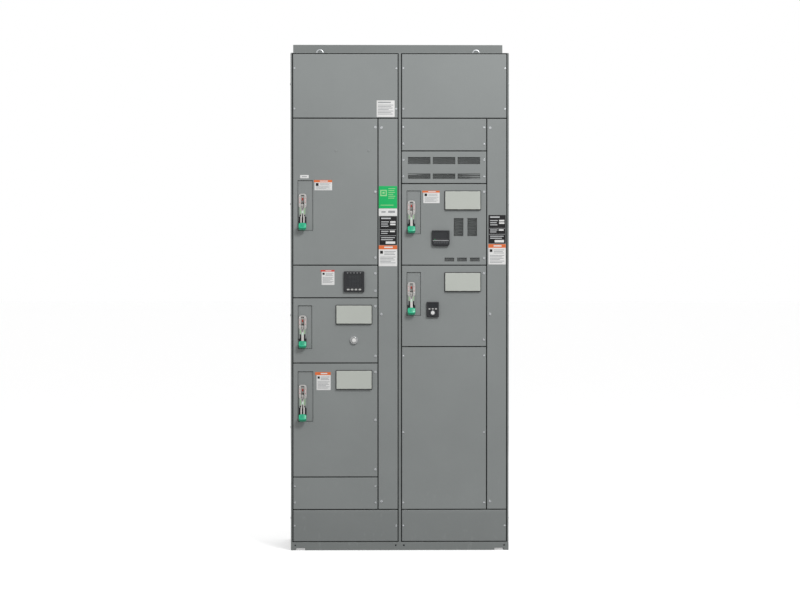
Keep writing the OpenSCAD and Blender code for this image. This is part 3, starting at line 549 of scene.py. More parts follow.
def green_label(piece, x, z, width, height, face):
    """A green film with a plain square emblem and pale bars."""
    tall = width / height
    label(piece, x, z, width, height, face, GREEN_INK, spread(width, height, [
        (0.08, 0.17, 0.36, 0.34 * tall, LIME_INK),
        (0.14, 0.215, 0.24, 0.22 * tall, GREEN_INK),
        (0.20, 0.26, 0.12, 0.10 * tall, LIME_INK),
        *text_rows(0.52, 0.10, 0.38, 6, 0.085, 0.03, LIME_INK),
        (0.10, 0.84, 0.70, 0.03, LIME_INK),
    ]))


# ---- door pieces

# From a section's left edge to its unit doors and to its wireway door, and from door to seam
DOOR_EDGE = 10.0
WIREWAY_EDGE = 408.25
DOOR_GAP = 2.25


class Door:
    """Places on one door, measured from its section's left edge and from the unit's top seam."""

    def __init__(self, node, edge):
        self.low, self.high = box_mm(node)
        self.face = self.low.y
        self.left, self.top = self.low.x - edge, self.high.z + DOOR_GAP
        self.trim = Piece(node + "_trim", node)

    def at(self, across, down):
        return self.left + across, self.top - down


def door_gasket(door, hinge_left):
    """Foam strip inside the door's return flange, clear of its hinge knuckles."""
    wide, narrow, strip = 15.5, 3.5, 7
    x0 = door.low.x + (wide if hinge_left else narrow)
    x1 = door.high.x - (narrow if hinge_left else wide)
    z0, z1 = door.low.z + narrow, door.high.z - narrow
    hole = Round(x0 + strip, z0 + strip, x1 - strip, z1 - strip, 1, 2)
    outline = Round(x0, z0, x1, z1, 2, 2)
    door.trim.prism(outline, door.face + 1.85, door.face + 8, RUBBER, 0, [hole])


def plate_shadow_gasket(door, plate_node):
    """Black rubber gasket round a control plate, standing past its edges as a painted shadow line."""
    rim = 3.2
    low, high = box_mm(plate_node)
    door.trim.slab(low.x - rim, low.z - rim, high.x + rim, high.z + rim, 3,
                   door.face - 4.5, door.face + 0.1, RUBBER, 0.8)


CONTROL_PLATES = ("starter", "large_starter", "drive", "soft_starter")

# Distance across and down, width, height, colour, height and overhang of the head
NOTICES = {
    "main_door": (110, 288, 82, 48, ORANGE_INK, 11, 3),
    "meter_door": (143, 22, 60, 70, RED_INK, 8, 4),
    "large_starter_door": (119, 42, 66, 84, ORANGE_INK, 14, 7),
    "drive_door": (110, 33, 76, 58, ORANGE_INK, 9, 5),
}


def build_door_trim():
    doors = {name: Door(name, DOOR_EDGE) for name in UNIT_DOORS}
    doors.update({name: Door(name, WIREWAY_EDGE) for name in WIREWAY_DOORS})
    for name, door in doors.items():
        door_gasket(door, name in UNIT_DOORS)
        unit = name.removesuffix("_door")
        if unit in CONTROL_PLATES:
            plate_shadow_gasket(door, unit + "_control_plate")
        if name in NOTICES:
            across, down, width, height, *head = NOTICES[name]
            notice(door.trim, *door.at(across, down), width, height, door.face, *head)

    main = doors["main_door"]
    label(main.trim, *main.at(43, 265), 40, 15, main.face, WHITE_INK, [(8, 5.5, 24, 4, GREY_INK)])
    # Two hole plugs
    main.trim.origin(main.left, main.face - 1.2, main.top - 151)
    for across in (210, 363):
        main.trim.drum((across, 0, 0), 6.5, 1.4, PANEL, 0.8)

    left, right = (doors[name] for name in WIREWAY_DOORS)
    x, width = left.low.x + 1.5, left.high.x - left.low.x - 4
    green_label(left.trim, x, 1703, width, 104, left.face)
    label(left.trim, x, 1598, width, 34, left.face, WHITE_INK,
          [(12, 12, 20, 7, GREY_INK), (44, 10, 32, 10, GREY_INK)])
    nameplate(left.trim, x + 3, 1562, width - 4, 134, left.face)
    notice(left.trim, x, 1426, width, 97, left.face, ORANGE_INK, 18)
    x = right.low.x + 6
    nameplate(right.trim, x, 1568, width - 5, 133, right.face)
    notice(right.trim, x, 1432, width - 5, 95, right.face, ORANGE_INK, 17)
    for door in doors.values():
        door.trim.finish("panel_paint")


# Vent openings: distance from the section's left edge and from the unit's lower seam, width, height
DRIVE_VENTS = [(252, 136, 45, 84), (316, 136, 45, 84),
               (209, 18, 45, 17.5), (268, 18, 45, 17.5), (328, 18, 45, 17.5)]
COVER_VENTS = [(x, z, 105, height) for x in (38, 154, 270) for z, height in ((91, 33), (22, 25))]


def build_vent_filters():
    """Filter mats in thin frames behind the slatted openings of the vent cover and drive door."""
    for name, node, body, vents, material in (
            ("cover_filters", "vent_cover", "cabinet", COVER_VENTS, FILTER),
            ("drive_door_filters", "drive_door", "drive_door", DRIVE_VENTS, PALE_FILTER)):
        low = box_mm(node)[0]
        piece = Piece(name, body)
        for across, up, width, height in vents:
            piece.origin(low.x - DOOR_EDGE + across, low.y, low.z - DOOR_GAP + up)
            mat, edge = (Round(-rim, -rim, width + rim, height + rim, radius, steps)
                         for rim, radius, steps in ((2, 0.5, 1), (4.5, 2, 5)))
            piece.prism(mat, 6, 8.5, material)
            piece.prism(edge, 5.2, 9, ZINC, 0.4, [mat])
        piece.finish("grey_plastic")


def build_cover_label():
    low = box_mm("wireway_covers")[0]
    unit_top = box_mm("main_door")[1].z + DOOR_GAP
    piece = Piece("top_cover_label", "cabinet")
    label(piece, low.x - DOOR_EDGE + 400, unit_top + 83, 84, 77, low.y, WHITE_INK, [
        (6, 6, 60, 6, GREY_INK), *text_rows(6, 20, 72, 7, 7, 3, GREY_INK)])
    piece.finish("panel_paint")


# ---- operating handles

LEVER_REST = 25
LONG_LEVERS = ("main", "large_starter")
GRIP_LENGTH = 27
# Depths, from the lever's shaft, of the guide plate's two faces
PLATE_FRONT, PLATE_BACK = -17.4, -15.9


def build_handle(name):
    """Lever at its rest angle: a blade out of the slot, two arms on a long one, a green grip."""
    node = name + "_handle"
    long = name in LONG_LEVERS
    tip = -122 if long else -103
    collar = tip + GRIP_LENGTH
    fork, grip = -42, collar - 4
    tilt = Matrix.Rotation(math.radians(-LEVER_REST), 4, "X")
    piece = Piece(name + "_lever", node, Matrix.Translation(JOINTS[node + "_turn"]) @ tilt)
    # Shaft, hub and the crank at the shaft's end
    piece.drum((-18, 0, 0), 5, 58, ZINC, 0.6, axis=ACROSS)
    piece.drum((-6.5, 0, 0), 9.5, 13, PALE, 0.8, axis=ACROSS)
    piece.drum((26, 0, 0), 5.8, 6, ZINC, 0.4, axis=ACROSS)
    piece.slabs(
        (26.5, 0, 31.5, 28, 2.4, -4, 4, ZINC, 0.5),
        # Blade, a dark slab on it painted as the shade of its slot, and its inlay
        (-6, fork if long else grip, 6, 0, 1, -4.5, 4.2, PALE, 1.2),
        (-2, -27, 2, -11, 1.9, -4.7, -4, DARK, 0.2),
        (-4.3, -43 if long else -44, 4.3, -30, 3.5, -4.7, -4, MINT, 0.2))
    for side in (-1, 1) if long else ():
        upper, lower = side * 4.7, side * 6.6
        piece.slabs((upper - 2.2, -62, upper + 2.2, fork + 3, 1, -4.3, 3.9, PALE, 1.2),
                    (lower - 3.2, grip, lower + 3.2, -56, 1.5, -4, 3.6, PALE, 1.3))
    # Collar, grip and the ribs on it; collar and ribs in a darker copy of the grip green, painted shade
    piece.slabs((-13, collar - 2, 13, collar + 3, (1, 1, 4, 4), -7, 5.5, SHADED_GREEN, 1),
                (-18, tip, 18, collar, (9, 9, 5, 5), -11, 11, GREEN, 4))
    for z in (tip + 8, tip + 13.5, tip + 19):
        piece.slab(-10, z, 10, z + 2.2, 1, -11.6, -10, SHADED_GREEN, 0.4)
    piece.finish("handle_green", node)


def build_escutcheons():
    """Light guide plates round the lever slots, wide above the shaft and narrow below it."""
    piece = Piece("handle_escutcheons", "cabinet")
    for name in HANDLES:
        shaft = Matrix.Translation(JOINTS[name + "_handle_turn"])
        plate = shaft @ Matrix.Translation((0, PLATE_FRONT, 0))
        piece.place = plate
        slot = Round(-7.2, -49, 7.2, 49, 2)
        piece.prism(Keyhole(), 0, PLATE_BACK - PLATE_FRONT, PALE, 1.3, [slot])
        # Dark lower end of the plate, in bars round the slot
        dark = -43 if name in LONG_LEVERS else -33
        for x0, x1, top in ((-12.9, -7.4, dark), (7.4, 12.9, dark), (-12.9, 12.9, -49.2)):
            piece.slab(x0, -54.3, x1, top, 0.8, -0.4, 0.6, BLACK, 0.3, 2)
        # Sloping floors of the slot, just behind the lever's two end positions
        for side in (-1, 1):
            piece.place = shaft @ Matrix.Rotation(math.radians(side * LEVER_REST), 4, "X")
            low, high = sorted((side * 11, side * 46))
            piece.slab(-7.4, low, 7.4, high, 0.5, 5.2, 6.6, PALE, 0, 1)
        piece.slab(-3.4, 24, 3.4, 37, 1.5, 5.0, 5.6, RED_INK)
        piece.place = plate
        for x in (-12.6, 12.6):
            piece.slabs((x - 2.2, 12, x + 2.2, 36, 1.5, -0.5, 0.3, ROSE_INK, 0.2),
                        (x - 1, 16, x + 1, 32, 0.9, -0.7, 0, WHITE_INK, 0.1))
        for x in (-9.9, 9.9):
            piece.slab(x - 1.3, dark + 2, x + 1.3, -13, 1.2, -0.3, 0.3, LIME_INK, 0.2)
        for x, z in ((-13, 44), (13, 44), (-13, 4), (13, 4)):
            piece.drum((x, -1, z), 2.3, 1.6, ZINC, 0.5, 16)
        # Black plate under the lever, painted shadow of the lever on the housing, and a guard on each side of the
        # neck
        piece.place = shaft
        piece.slab(-18.2, -92, 18.2, min(dark, -41), 2, -11, -8.5, BLACK, 0.6)
        for x0, x1 in ((-18.2, -13), (13, 18.2)):
            piece.slab(x0, dark, x1, -8, 1, -16.6, PLATE_BACK, SAGE, 0.3)
    piece.finish("grey_plastic")


# ---- door devices

# Seven segments of a digit: left, bottom, width, height
SEGMENTS = [(0.9, 0, 5.2, 1.2), (0.9, 5.4, 5.2, 1.2), (0.9, 10.8, 5.2, 1.2), (-0.4, 0.9, 1.2, 4.7),
            (6.2, 0.9, 1.2, 4.7), (-0.4, 6.4, 1.2, 4.7), (6.2, 6.4, 1.2, 4.7)]


def build_meter():
    """Square panel meter: bezel, smoked window with plain segment bars, four key pockets."""
    low, high = box_mm("power_meter")
    cx, cz = (low.x + high.x) / 2, (low.z + high.z) / 2
    half = (high.x - low.x) / 2
    keys = {f"meter_key_{k}": box_mm(f"meter_key_{k}") for k in range(1, 5)}
    piece = Piece("panel_meter", "meter_door")
    piece.origin(cx, low.y, cz)
    pockets = [Round(a.x - cx - 0.4, a.z - cz - 0.4, b.x - cx + 0.4, b.z - cz + 0.4, 1, 3)
               for a, b in keys.values()]
    bezel = Round(-half, -half, half, half, 4)
    piece.prism(bezel, 1, 5.5, BLACK, 1.6, [Round(-36, -24, 36, 36, 2), *pockets])
    piece.prism(bezel, 5.4, 14, BLACK)
    piece.slabs((-45, -45, 45, 45, 2, 13, 64, BLACK),
                (-36.2, -24.2, 36.2, 36.2, 2, 3, 5.6, SCREEN))
    for row in range(3):
        for digit in range(4):
            for left, bottom, w, h in SEGMENTS:
                x, z = 12 * digit - 21 + left, 15 - 18 * row + bottom
                piece.slab(x, z, x + w, z + h, 0.3, 2.9, 3.1, GHOST, 0, 1)
    for x in range(-30, 31, 15):
        piece.slab(x - 3, 39.5, x + 3, 41.5, 0.5, 0.85, 1.3, PALE_INK, 0, 2)
    piece.finish("black_plastic", "power_meter")
    for name, (a, b) in keys.items():
        mark = Piece(name + "_cap", name)
        mark.slab(a.x, a.z, b.x, b.z, 1.6, a.y, b.y, LIGHT, 0.8)
        mark.origin((a.x + b.x) / 2, a.y, (a.z + b.z) / 2)
        mark.slab(-3, -0.5, 3, 0.5, 0.4, -0.1, 0.2, BLACK_INK, 0, 2)
        mark.finish("grey_plastic", name)


def build_drive_keypad():
    """Black keypad with soft lower corners, a screen, a light trim line and a row of keys."""
    low, high = box_mm("drive_keypad")
    w, h = high.x - low.x, high.z - low.z
    piece = Piece("drive_keypad_unit", "drive_door")
    piece.origin(*low)
    outline = Round(0, 0, w, h, (12, 12, 3, 3))
    piece.prism(outline, 0, 7, BLACK, 2.4, [Round(9, 34, w - 9, h - 8, 2)])
    piece.prism(outline, 6.9, 16, BLACK)
    piece.slabs((18, 16, w - 18, h - 16, 3, 15, 40, BLACK),
                (8.8, 33.8, w - 8.8, h - 7.8, 2, 2, 7, SCREEN),
                (4, 24, w - 4, 26, 0.8, -0.3, 1, PALE_INK))
    for k in range(6):
        x = 13 + k * (w - 26) / 5
        piece.slab(x - 4, 11, x + 4, 17.5, 2, -1.2, 1, DARK, 0.8)
    piece.drum((13, -0.4, 29.5), 1.5, 1, GREEN_INK, 0.2, 12)
    piece.finish("black_plastic", "drive_keypad")


def build_soft_starter_keypad():
    """Keypad with a smoked window, three pale marks and a dial recess."""
    low, high = box_mm("soft_starter_keypad")
    w, h = high.x - low.x, high.z - low.z
    dial_low, dial_high = box_mm("keypad_dial")
    centre, radius = (dial_low + dial_high) / 2, (dial_high.x - dial_low.x) / 2
    x, z = centre.x - low.x, centre.z - low.z
    piece = Piece("soft_starter_keypad_unit", "soft_starter_door")
    piece.origin(*low)
    window, bore = Round(7, h - 27, w - 7, h - 7, 2), disc(x, z, 4.05)
    outline = Round(0, 0, w, h, 4)
    piece.prism(outline, 0, 4.5, BLACK, 1.6, [window, disc(x, z, radius + 0.5, 10)])
    piece.prism(outline, 4.4, 12, BLACK, 0, [bore])
    piece.prism(Round(12, 12, w - 12, h - 12, 2), 11.9, 32, BLACK, 0, [bore])
    piece.slab(6.8, h - 27.2, w - 6.8, h - 6.8, 2, 1.5, 4.5, SCREEN)
    for mark in (x - 15, x, x + 15):
        piece.slab(mark - 4.2, h - 35.5, mark + 4.2, h - 30.5, 1.2, -0.9, 0.5, LIGHT, 0.4)
    piece.finish("black_plastic", "soft_starter_keypad")
    # Cap face, pointer and grip ribs of the dial
    cap = Piece("keypad_dial_cap", "keypad_dial")
    cap.origin(centre.x, dial_low.y, centre.z)
    cap.drum((0, -0.9, 0), 8.5, 1.2, WHITE_INK, 0.4)
    cap.slab(-0.8, 9, 0.8, 13, 0.6, -0.4, 0.4, WHITE_INK)
    for k in range(18):
        angle = math.radians(20 * k)
        rib = (radius * math.cos(angle), 1.2, radius * math.sin(angle))
        cap.drum(rib, 0.45, 4.2, DARK, 0.15, 8)
    cap.finish("grey_plastic")


def build_reset_face():
    """White face of the reset button's cap."""
    low, high = box_mm("reset_button")
    cap = Piece("reset_button_face", "reset_button")
    centre = ((low.x + high.x) / 2, low.y - 0.35, (low.z + high.z) / 2)
    cap.drum(centre, (high.x - low.x) / 2 - 2.2, 0.6, WHITE_INK, 0.25)
    cap.finish("grey_plastic")


# ---- lifting eyes

def build_lifting_eyes():
    """Forged eye bolts with a round-section ring, a collar, a stud and a nut."""
    foot = box_mm("lifting_eyes")[0].z
    piece = Piece("forged_lifting_eyes", "cabinet")
    mounts = {m["name"]: m for m in frame["record"]["mounts"]}
    seat = box_mm("roof_plates")[1].z + 6.35
    for side in ("left", "right"):
        mount = mounts[side + "_lifting_eye"]
        centre = Vector(mount["pos_m"]) / MM
        ring(piece, centre, mount["dims"]["r_mm"] + 4, 4, ZINC)
        for z, radius, length, edge, sides in (
                (seat, 9, 4, 1.2, 32), (seat + 3, 6.5, 9, 1.5, 32),
                (foot, 5, seat - foot + 2, 0.5, 32), (foot + 4, 9, 8, 0.6, 8)):
            piece.drum((centre.x, centre.y, z), radius, length, ZINC, edge, sides, UP)
    piece.finish("zinc_steel", "lifting_eyes")


def ring(piece, centre, radius, thick, material, turns=48, sides=16):
    """A torus about the Y axis."""
    index = piece.slot(material)
    grid = []
    for k in range(turns):
        a = 2 * math.pi * k / turns
        row = []
        for j in range(sides):
            b = 2 * math.pi * j / sides
            r = radius + thick * math.cos(b)
            point = Vector((r * math.cos(a), thick * math.sin(b), r * math.sin(a)))
            row.append(piece.mesh.verts.new(centre + point))
        grid.append(row)
    for k in range(turns):
        row, following = grid[k], grid[(k + 1) % turns]
        for j in range(sides):
            after = (j + 1) % sides
            piece.face([row[j], following[j], following[after], row[after]], index)


# ---- seams and inside parts

FRONT = box_mm("main_door")[0].y
LEFT, RIGHT = box_mm("main_door")[0].x - DOOR_EDGE, 0.0
PAN_BACK = FRONT + 250

# Spans across a section, from its left edge
UNIT_SPAN, POST_SPAN, WIREWAY_SPAN, COVER_SPAN = (39, 379), (399, 413), (414, 470), (39, 470)
SIDE_SPANS = ((2.6, 14.0), (493.6, 505.0))
TRIM_HOLES = (19, 489)
# Front and back of the black foam on the frame, which paints shade into the seams
SEAM_SHADE_FOAM = (FRONT + 17.4, FRONT + 19.98)


def seam_levels(covers):
    """Heights of the seams above and below the given doors and covers."""
    levels = set()
    for node in covers:
        low, high = box_mm(node)
        levels.update((round(low.z - DOOR_GAP, 1), round(high.z + DOOR_GAP, 1)))
    return levels


def build_seam_shade_strips():
    """Black foam on the frame behind every seam, painted shade that darkens the seam gaps, and cage nuts behind
    the trim-plate holes.
    """
    piece = Piece("frame_seam_shade_strips", "cabinet")
    door_low, door_high = box_mm("left_wireway_door")
    bottom, top = door_low.z - 2, door_high.z + 2
    channel_top = box_mm("base_channels")[1].z
    base, roof = channel_top + 1.2, box_mm("roof_plates")[0].z - 0.8
    for left, seams in (
            (LEFT, seam_levels(["main_door", "meter_door", "starter_door", "large_starter_door"])),
            (RIGHT, seam_levels(["vent_cover", "drive_door", "soft_starter_door"]))):
        strips = [(UNIT_SPAN, z - 8, z + 8) for z in sorted({bottom, top, *seams})]
        strips += [(WIREWAY_SPAN, z - 8, z + 8) for z in (bottom, top)]
        strips += [(POST_SPAN, bottom, top)] + [(span, base, roof) for span in SIDE_SPANS]
        strips += [(COVER_SPAN, z - 4.4, z + 4.4) for z in (base + 4.5, roof - 4.5)]
        for (x0, x1), z0, z1 in strips:
            # Black strips behind the seams and edges: painted shade in the gaps
            piece.slab(left + x0, z0, left + x1, z1, 1, *SEAM_SHADE_FOAM, RUBBER, 0, 2)
        for x in TRIM_HOLES:
            piece.drum((left + x, FRONT + 4.6, 0.6 * channel_top), 7, 4, BLACK, 0.5, 24)
    piece.finish("panel_paint")


# Devices on the unit pans, as in the CAD. Breakers: middle across, width, depth and height, with
# the shaft at mid height. The others: left edge across, distance up, width, depth and height.
SMALL_BREAKER = (106, 104, 86, 163)
BREAKERS = {"main": (122, 140, 110, 325), "large_starter": (122, 140, 103, 255),
            "starter": SMALL_BREAKER, "drive": SMALL_BREAKER, "soft_starter": SMALL_BREAKER}
CONTACTORS = {"starter": (190, 150, 76, 115, 112), "large_starter": (215, 260, 120, 150, 155)}
RELAYS = {"starter": (190, 70, 76, 95, 72), "large_starter": (218, 155, 114, 120, 95)}
CONVERTERS = {"drive": (186, 26, 172, 205, 325), "soft_starter": (190, 44, 160, 190, 285)}
# Terminal strips: left edge across, distance up, number of rows
STRIPS = {"starter": (318, 130, 12), "large_starter": (334, 48, 10), "drive": (70, 24, 8),
          "soft_starter": (70, 24, 8)}
SHAFT_ACROSS = 54
ARC_CHAMBER = 12
# Depth of a door's inner face behind its front
INSIDE = 1.88
# Units whose motor leads run down the front of their wireway
OUTER_LANES = ("large_starter", "soft_starter")
FLOOR_EXIT = 12


def contactor_pole(width, k):
    """Distance of pole 0, 1 or 2 from a contactor's left edge."""
    return width * (0.22 + 0.28 * k)


class Unit:
    """One lever-operated unit. Distances are across from its section's left edge, ahead of the
    back of its pan, and up from its lower seam."""

    def __init__(self, name):
        shaft = JOINTS[name + "_handle_turn"]
        self.left, self.base = shaft.x - SHAFT_ACROSS, box_mm(name + "_door")[0].z - DOOR_GAP
        self.shaft = shaft.z - self.base
        self.across, self.width, self.depth, self.height = BREAKERS[name]
        # Where the load cables leave the breaker
        self.outlet, self.behind = self.shaft - self.height / 2 + 8, self.depth * 0.45
        # Depth of the lanes of its motor leads in the wireway
        self.lanes = [184 - 15 * k - 54 * (name in OUTER_LANES) for k in range(3)]

    def pole(self, k):
        """Middle of a breaker pole: k is -1, 0 or 1, or a half for the groove between two."""
        return self.across + k * self.width * 0.32

    def corner(self, across, up, depth):
        """A point on the front face of a device of this depth."""
        return self.left + across, PAN_BACK - depth, self.base + up

    def cable(self, curve, radius, *points):
        cable(curve, radius, *((self.left + x, PAN_BACK - y, self.base + z) for x, y, z in points))

    def motor_lead(self, curve, radius, lane, drop, *points):
        """A cable that ends down its lane of the wireway, at the floor."""
        self.cable(curve, radius, *points, (430, lane, -drop),
                   (430, lane - 40, FLOOR_EXIT - self.base))


def build_breaker_details():
    """Cover plates, ratings areas, rating marks, terminals and grooves on the breakers."""
    piece = Piece("breaker_details", "cabinet")
    for unit in map(Unit, BREAKERS):
        piece.origin(*unit.corner(unit.across, unit.shaft, unit.depth))
        half, depth, height = unit.width / 2, unit.depth, unit.height
        reach = height * 0.27
        plate = Round(11 - half, 3 - reach, half - 11, reach - 3, 4)
        piece.prism(plate, -7.6, -5.9, DARK, 0.6, [Round(-9, -25, 9, 25, 2)])
        piece.slabs((15 - half, 30, half - 15, reach - 7, 1, -7.9, -7.5, GREY_INK),
                    (14, -20, half - 15, 20, 1, -7.8, -7.5, PALE_INK))
        for z in (-14, -4, 6):
            piece.slab(17, z, half - 19, z + 3, 0.5, -8, -7.7, BLACK_INK, 0, 2)
        for side in (-1, 1):
            z = side * (height / 2 - 13)
            for k in (-1, 0, 1):
                x = unit.pole(k) - unit.across
                piece.drum((x, depth * 0.3, z), 6.5, depth * 0.3 + 1, BRASS, 0.8, 16)
                piece.slab(x - 9.6, z - 9, x + 9.6, z + 9, 1,
                           depth * 0.5, depth * 0.6, COPPER, 0.4)
        for k in (-0.5, 0.5):
            x = unit.pole(k) - unit.across
            for end in (-1, 1):
                z0, z1 = sorted((end * height * 0.30, end * (height / 2 - 2)))
                piece.slab(x - 0.8, z0, x + 0.8, z1, 0.3, -0.8, 0.2, DARK, 0, 1)
    piece.finish("black_plastic")


def build_device_details():
    """Fronts, coils, keys, labels and screws of the other devices in the units."""
    piece = Piece("unit_device_details", "cabinet")
    for name, (across, up, w, d, h) in CONTACTORS.items():
        piece.origin(*Unit(name).corner(across, up, d + ARC_CHAMBER))
        piece.slabs(
            (w * 0.18, h * 0.28, w * 0.82, h * 0.72, 3, -2, 0.1, BLACK, 0.8),
            (w * 0.42, h * 0.40, w * 0.58, h * 0.60, 2, -4, -1.9, BEIGE, 0.8),
            (w * 0.22, h * 0.62, w * 0.78, h * 0.69, 0.6, -2.3, -1.9, WHITE_INK))
        for z in (7, h - 7):
            for k in range(3):
                pole = (contactor_pole(w, k), ARC_CHAMBER + d * 0.28, z)
                piece.drum(pole, w * 0.06, d * 0.2, BRASS, 0.6, 16)
    # Overload relays: setting dial with its pointer, label, two buttons
    for name, (across, up, w, d, h) in RELAYS.items():
        piece.origin(*Unit(name).corner(across, up, d))
        x, z = w / 2, h * 0.6
        piece.drum((x, 1, z), 8, 5, LIGHT, 1, 24)
        piece.slabs((x - 0.8, z, x + 0.8, z + 7, 0.4, 0.7, 1.2, RED_INK, 0, 1),
                    (w * 0.2, h * 0.82, w * 0.8, h * 0.92, 0.6, -0.4, 0.1, WHITE_INK))
        for share, material in ((0.30, RED_MOULDED), (0.70, LIGHT)):
            piece.drum((w * share, -0.5, h * 0.175), 2.8, 5, material, 0.6, 16)
    # Converters: keypad with a screen and four keys, terminal cover, label, screws with a dark bar across each,
    # painted shade of its slot
    for name, (across, up, w, d, h) in CONVERTERS.items():
        piece.origin(*Unit(name).corner(across, up, d))
        piece.slabs((27, h - 88, w - 27, h - 32, 3, -1.2, 2.1, BLACK, 0.9),
                    (34, h - 62, w - 34, h - 38, 2, -1.5, -1.1, SCREEN))
        for k in range(4):
            x = 40 + k * (w - 80) / 3
            piece.slab(x - 5, h - 80, x + 5, h - 71, 2, -2.4, -1.1, LIGHT, 0.6)
        piece.slabs((20, 70, w - 20, h - 110, 4, -2.5, 0.1, LIGHT, 1),
                    (30, 84, w - 60, 116, 1, -2.8, -2.4, WHITE_INK))
        for k in range(3):
            piece.slab(34, 90 + 8 * k, w - 70 - 8 * k, 92 + 8 * k, 0.5, -3, -2.7, GREY_INK, 0, 1)
        for z in (10, h - 10):
            for x in (10, w - 10):
                piece.drum((x, -1.6, z), 3.2, 2, ZINC, 0.5, 16)
                piece.slab(x - 2.24, z - 0.5, x + 2.24, z + 0.5, 0.2, -1.75, -1.5, DARK, 0, 1)
    piece.finish("grey_plastic")


def build_door_backs():
    """Earth studs on the unit doors, and a documents pocket and a stiffener on the main door."""
    for name in UNIT_DOORS:
        low, high = box_mm(name)
        piece = Piece(name + "_inner_parts", name)
        if name == "main_door":
            piece.origin(low.x + 118, low.y + INSIDE, low.z + 110)
            w, top = high.x - low.x - 152, high.z - low.z - 110
            piece.slabs((0, 0, w, 150, 5, 0, 1.6, DARK), (0, 0, w, 118, 5, 10.5, 12, DARK),
                        (0, 0, 1.6, 118, 0.5, 0, 12, DARK), (w - 1.6, 0, w, 118, 0.5, 0, 12, DARK),
                        (0, 0, w, 1.6, 0.5, 0, 12, DARK), (18, 6, w - 22, 140, 1, 3, 6, WHITE_INK),
                        (0, top - 150, w, top - 132, 1, 0, 9, PANEL))
        piece.origin(low.x + 105, low.y + INSIDE, low.z + 26)
        piece.drum((0, 0, 0), 3, 9, BRASS, 0.4, 16)
        piece.drum((0, 0, 0), 5.5, 3, BRASS, 0.5, 24)
        piece.finish("panel_paint")


def build_bus_bolts():
    """Bolts and washers where the risers meet the horizontal bars, and on the ground bar."""
    piece = Piece("bus_joint_bolts", "cabinet")
    low = box_mm("bus_bars")[0]
    bar = box_mm("left_wireway_door")[1].z + DOOR_GAP + 50
    bolts = []
    for left in (LEFT, RIGHT):
        for k in range(3):
            x, z = left + 153 + 50 * k, bar + 75 * k
            bolts += [(x, y, z + up, side) for y, side in ((346.35, 1), (300, -1))
                      for up in (13, 38)]
        bolts += [(left + 60 + 72 * k, 440, low.z + 25, -1) for k in range(6)]
    for x, y, z, side in bolts:
        axis = (0, side, 0)
        piece.drum((x, FRONT + y, z), 8.5, 1.6, ZINC, 0.3, 24, axis)
        piece.drum((x, FRONT + y + side * 1.5, z), 6.2, 5, BRASS, 0.6, 24, axis)
    piece.finish("zinc_steel")


# ---- cables

def cable(curve, radius, *points):
    """Adds one cable to a curve object: smooth path through points in millimetres."""
    spline = curve.splines.new("BEZIER")
    spline.bezier_points.add(len(points) - 1)
    for knot, point in zip(spline.bezier_points, points):
        assign(knot, co=Vector(point) * MM, radius=radius,
               handle_left_type="AUTO", handle_right_type="AUTO")
    spline.use_smooth = True


def new_cables():
    return assign(bpy.data.curves.new("cable", "CURVE"), dimensions="3D", bevel_depth=MM,
                  bevel_resolution=2, resolution_u=6, use_fill_caps=True)


def finish_cables(name, curve, material):
    """Turns the cables of one curve into a mesh piece that rides on the cabinet."""
    shape = add_object("cable", curve)
    solid = shape.evaluated_get(bpy.context.evaluated_depsgraph_get())
    mesh = bpy.data.meshes.new_from_object(solid)
    bpy.data.objects.remove(shape)
    mesh.name = name
    mesh.materials.clear()
    mesh.materials.append(material)
    for polygon in mesh.polygons:
        assign(polygon, use_smooth=True, material_index=0)
    hand_in(add_object(name, mesh), "cabinet")


def feeders(curve, ceiling):
    """Three incoming feeders drop through the left wireway into the main breaker."""
    unit = Unit("main")
    shaft, roof = unit.shaft, ceiling - unit.base
    top = shaft + unit.height / 2 - 8
    for k in range(3):
        x, lane = unit.across + 45 * (k - 1), 172 - 24 * k
        unit.cable(
            curve, 8.5, (x, 48, top), (x, 60, top + 40), (230 + 20 * k, 100, shaft + 214 + 12 * k),
            (330, lane - 20, shaft + 220 + 14 * k), (400, lane, shaft + 246 + 18 * k),
            (436, lane, shaft + 330 + 24 * k), (440, lane, roof - 120), (430, lane, roof + 110),
            (400 - 30 * k, lane - 40, roof + 262))


def starter_leads(curve, name, radius):
    """Breaker to contactor, and relay to the wireway and the floor."""
    unit = Unit(name)
    across, up, width, depth, height = CONTACTORS[name]
    relay, top, out = RELAYS[name][1], up + height, unit.outlet
    gap = (unit.across + unit.width / 2 + across) / 2
    for k, lane in enumerate(unit.lanes):
        pole, terminal = unit.pole(k - 1), across + contactor_pole(width, k)
        unit.cable(
            curve, radius, (pole, unit.behind, out), (pole, unit.behind, out - 26 - 6 * k),
            (gap, 30 + 14 * k, out - 16), (gap, 30 + 14 * k, top - 20),
            (terminal, depth * 0.6, top + 22 + 5 * k), (terminal, depth * 0.62, top - 8))
        unit.motor_lead(
            curve, radius, lane, 100, (terminal, depth * 0.4, relay + 4),
            (terminal, depth * 0.55, relay - 18 - 4 * k), (345, 140, relay - 4 + 10 * k),
            (388, lane, relay + 6 + 8 * k), (424, lane, relay - 60))


def converter_leads(curve, name, radius):
    """Breaker to the converter's foot, and from there to the wireway and the floor."""
    unit = Unit(name)
    for k, lane in enumerate(unit.lanes):
        pole, entry = unit.pole(k - 1), CONVERTERS[name][0] + 34 + 14 * k
        leave = entry + 62
        unit.cable(
            curve, radius, (pole, unit.behind, unit.outlet), (pole, unit.behind, unit.outlet - 34),
            (168 + 3 * k, 70 + 12 * k, 66), (entry, 110, 14 + 2 * k), (entry, 110, 30))
        unit.motor_lead(
            curve, radius, lane, 120, (leave, 110, 30), (leave, 112, 14),
            (366, 150, 84 + 6 * k), (392, lane, 110 + 8 * k), (424, lane, 50))


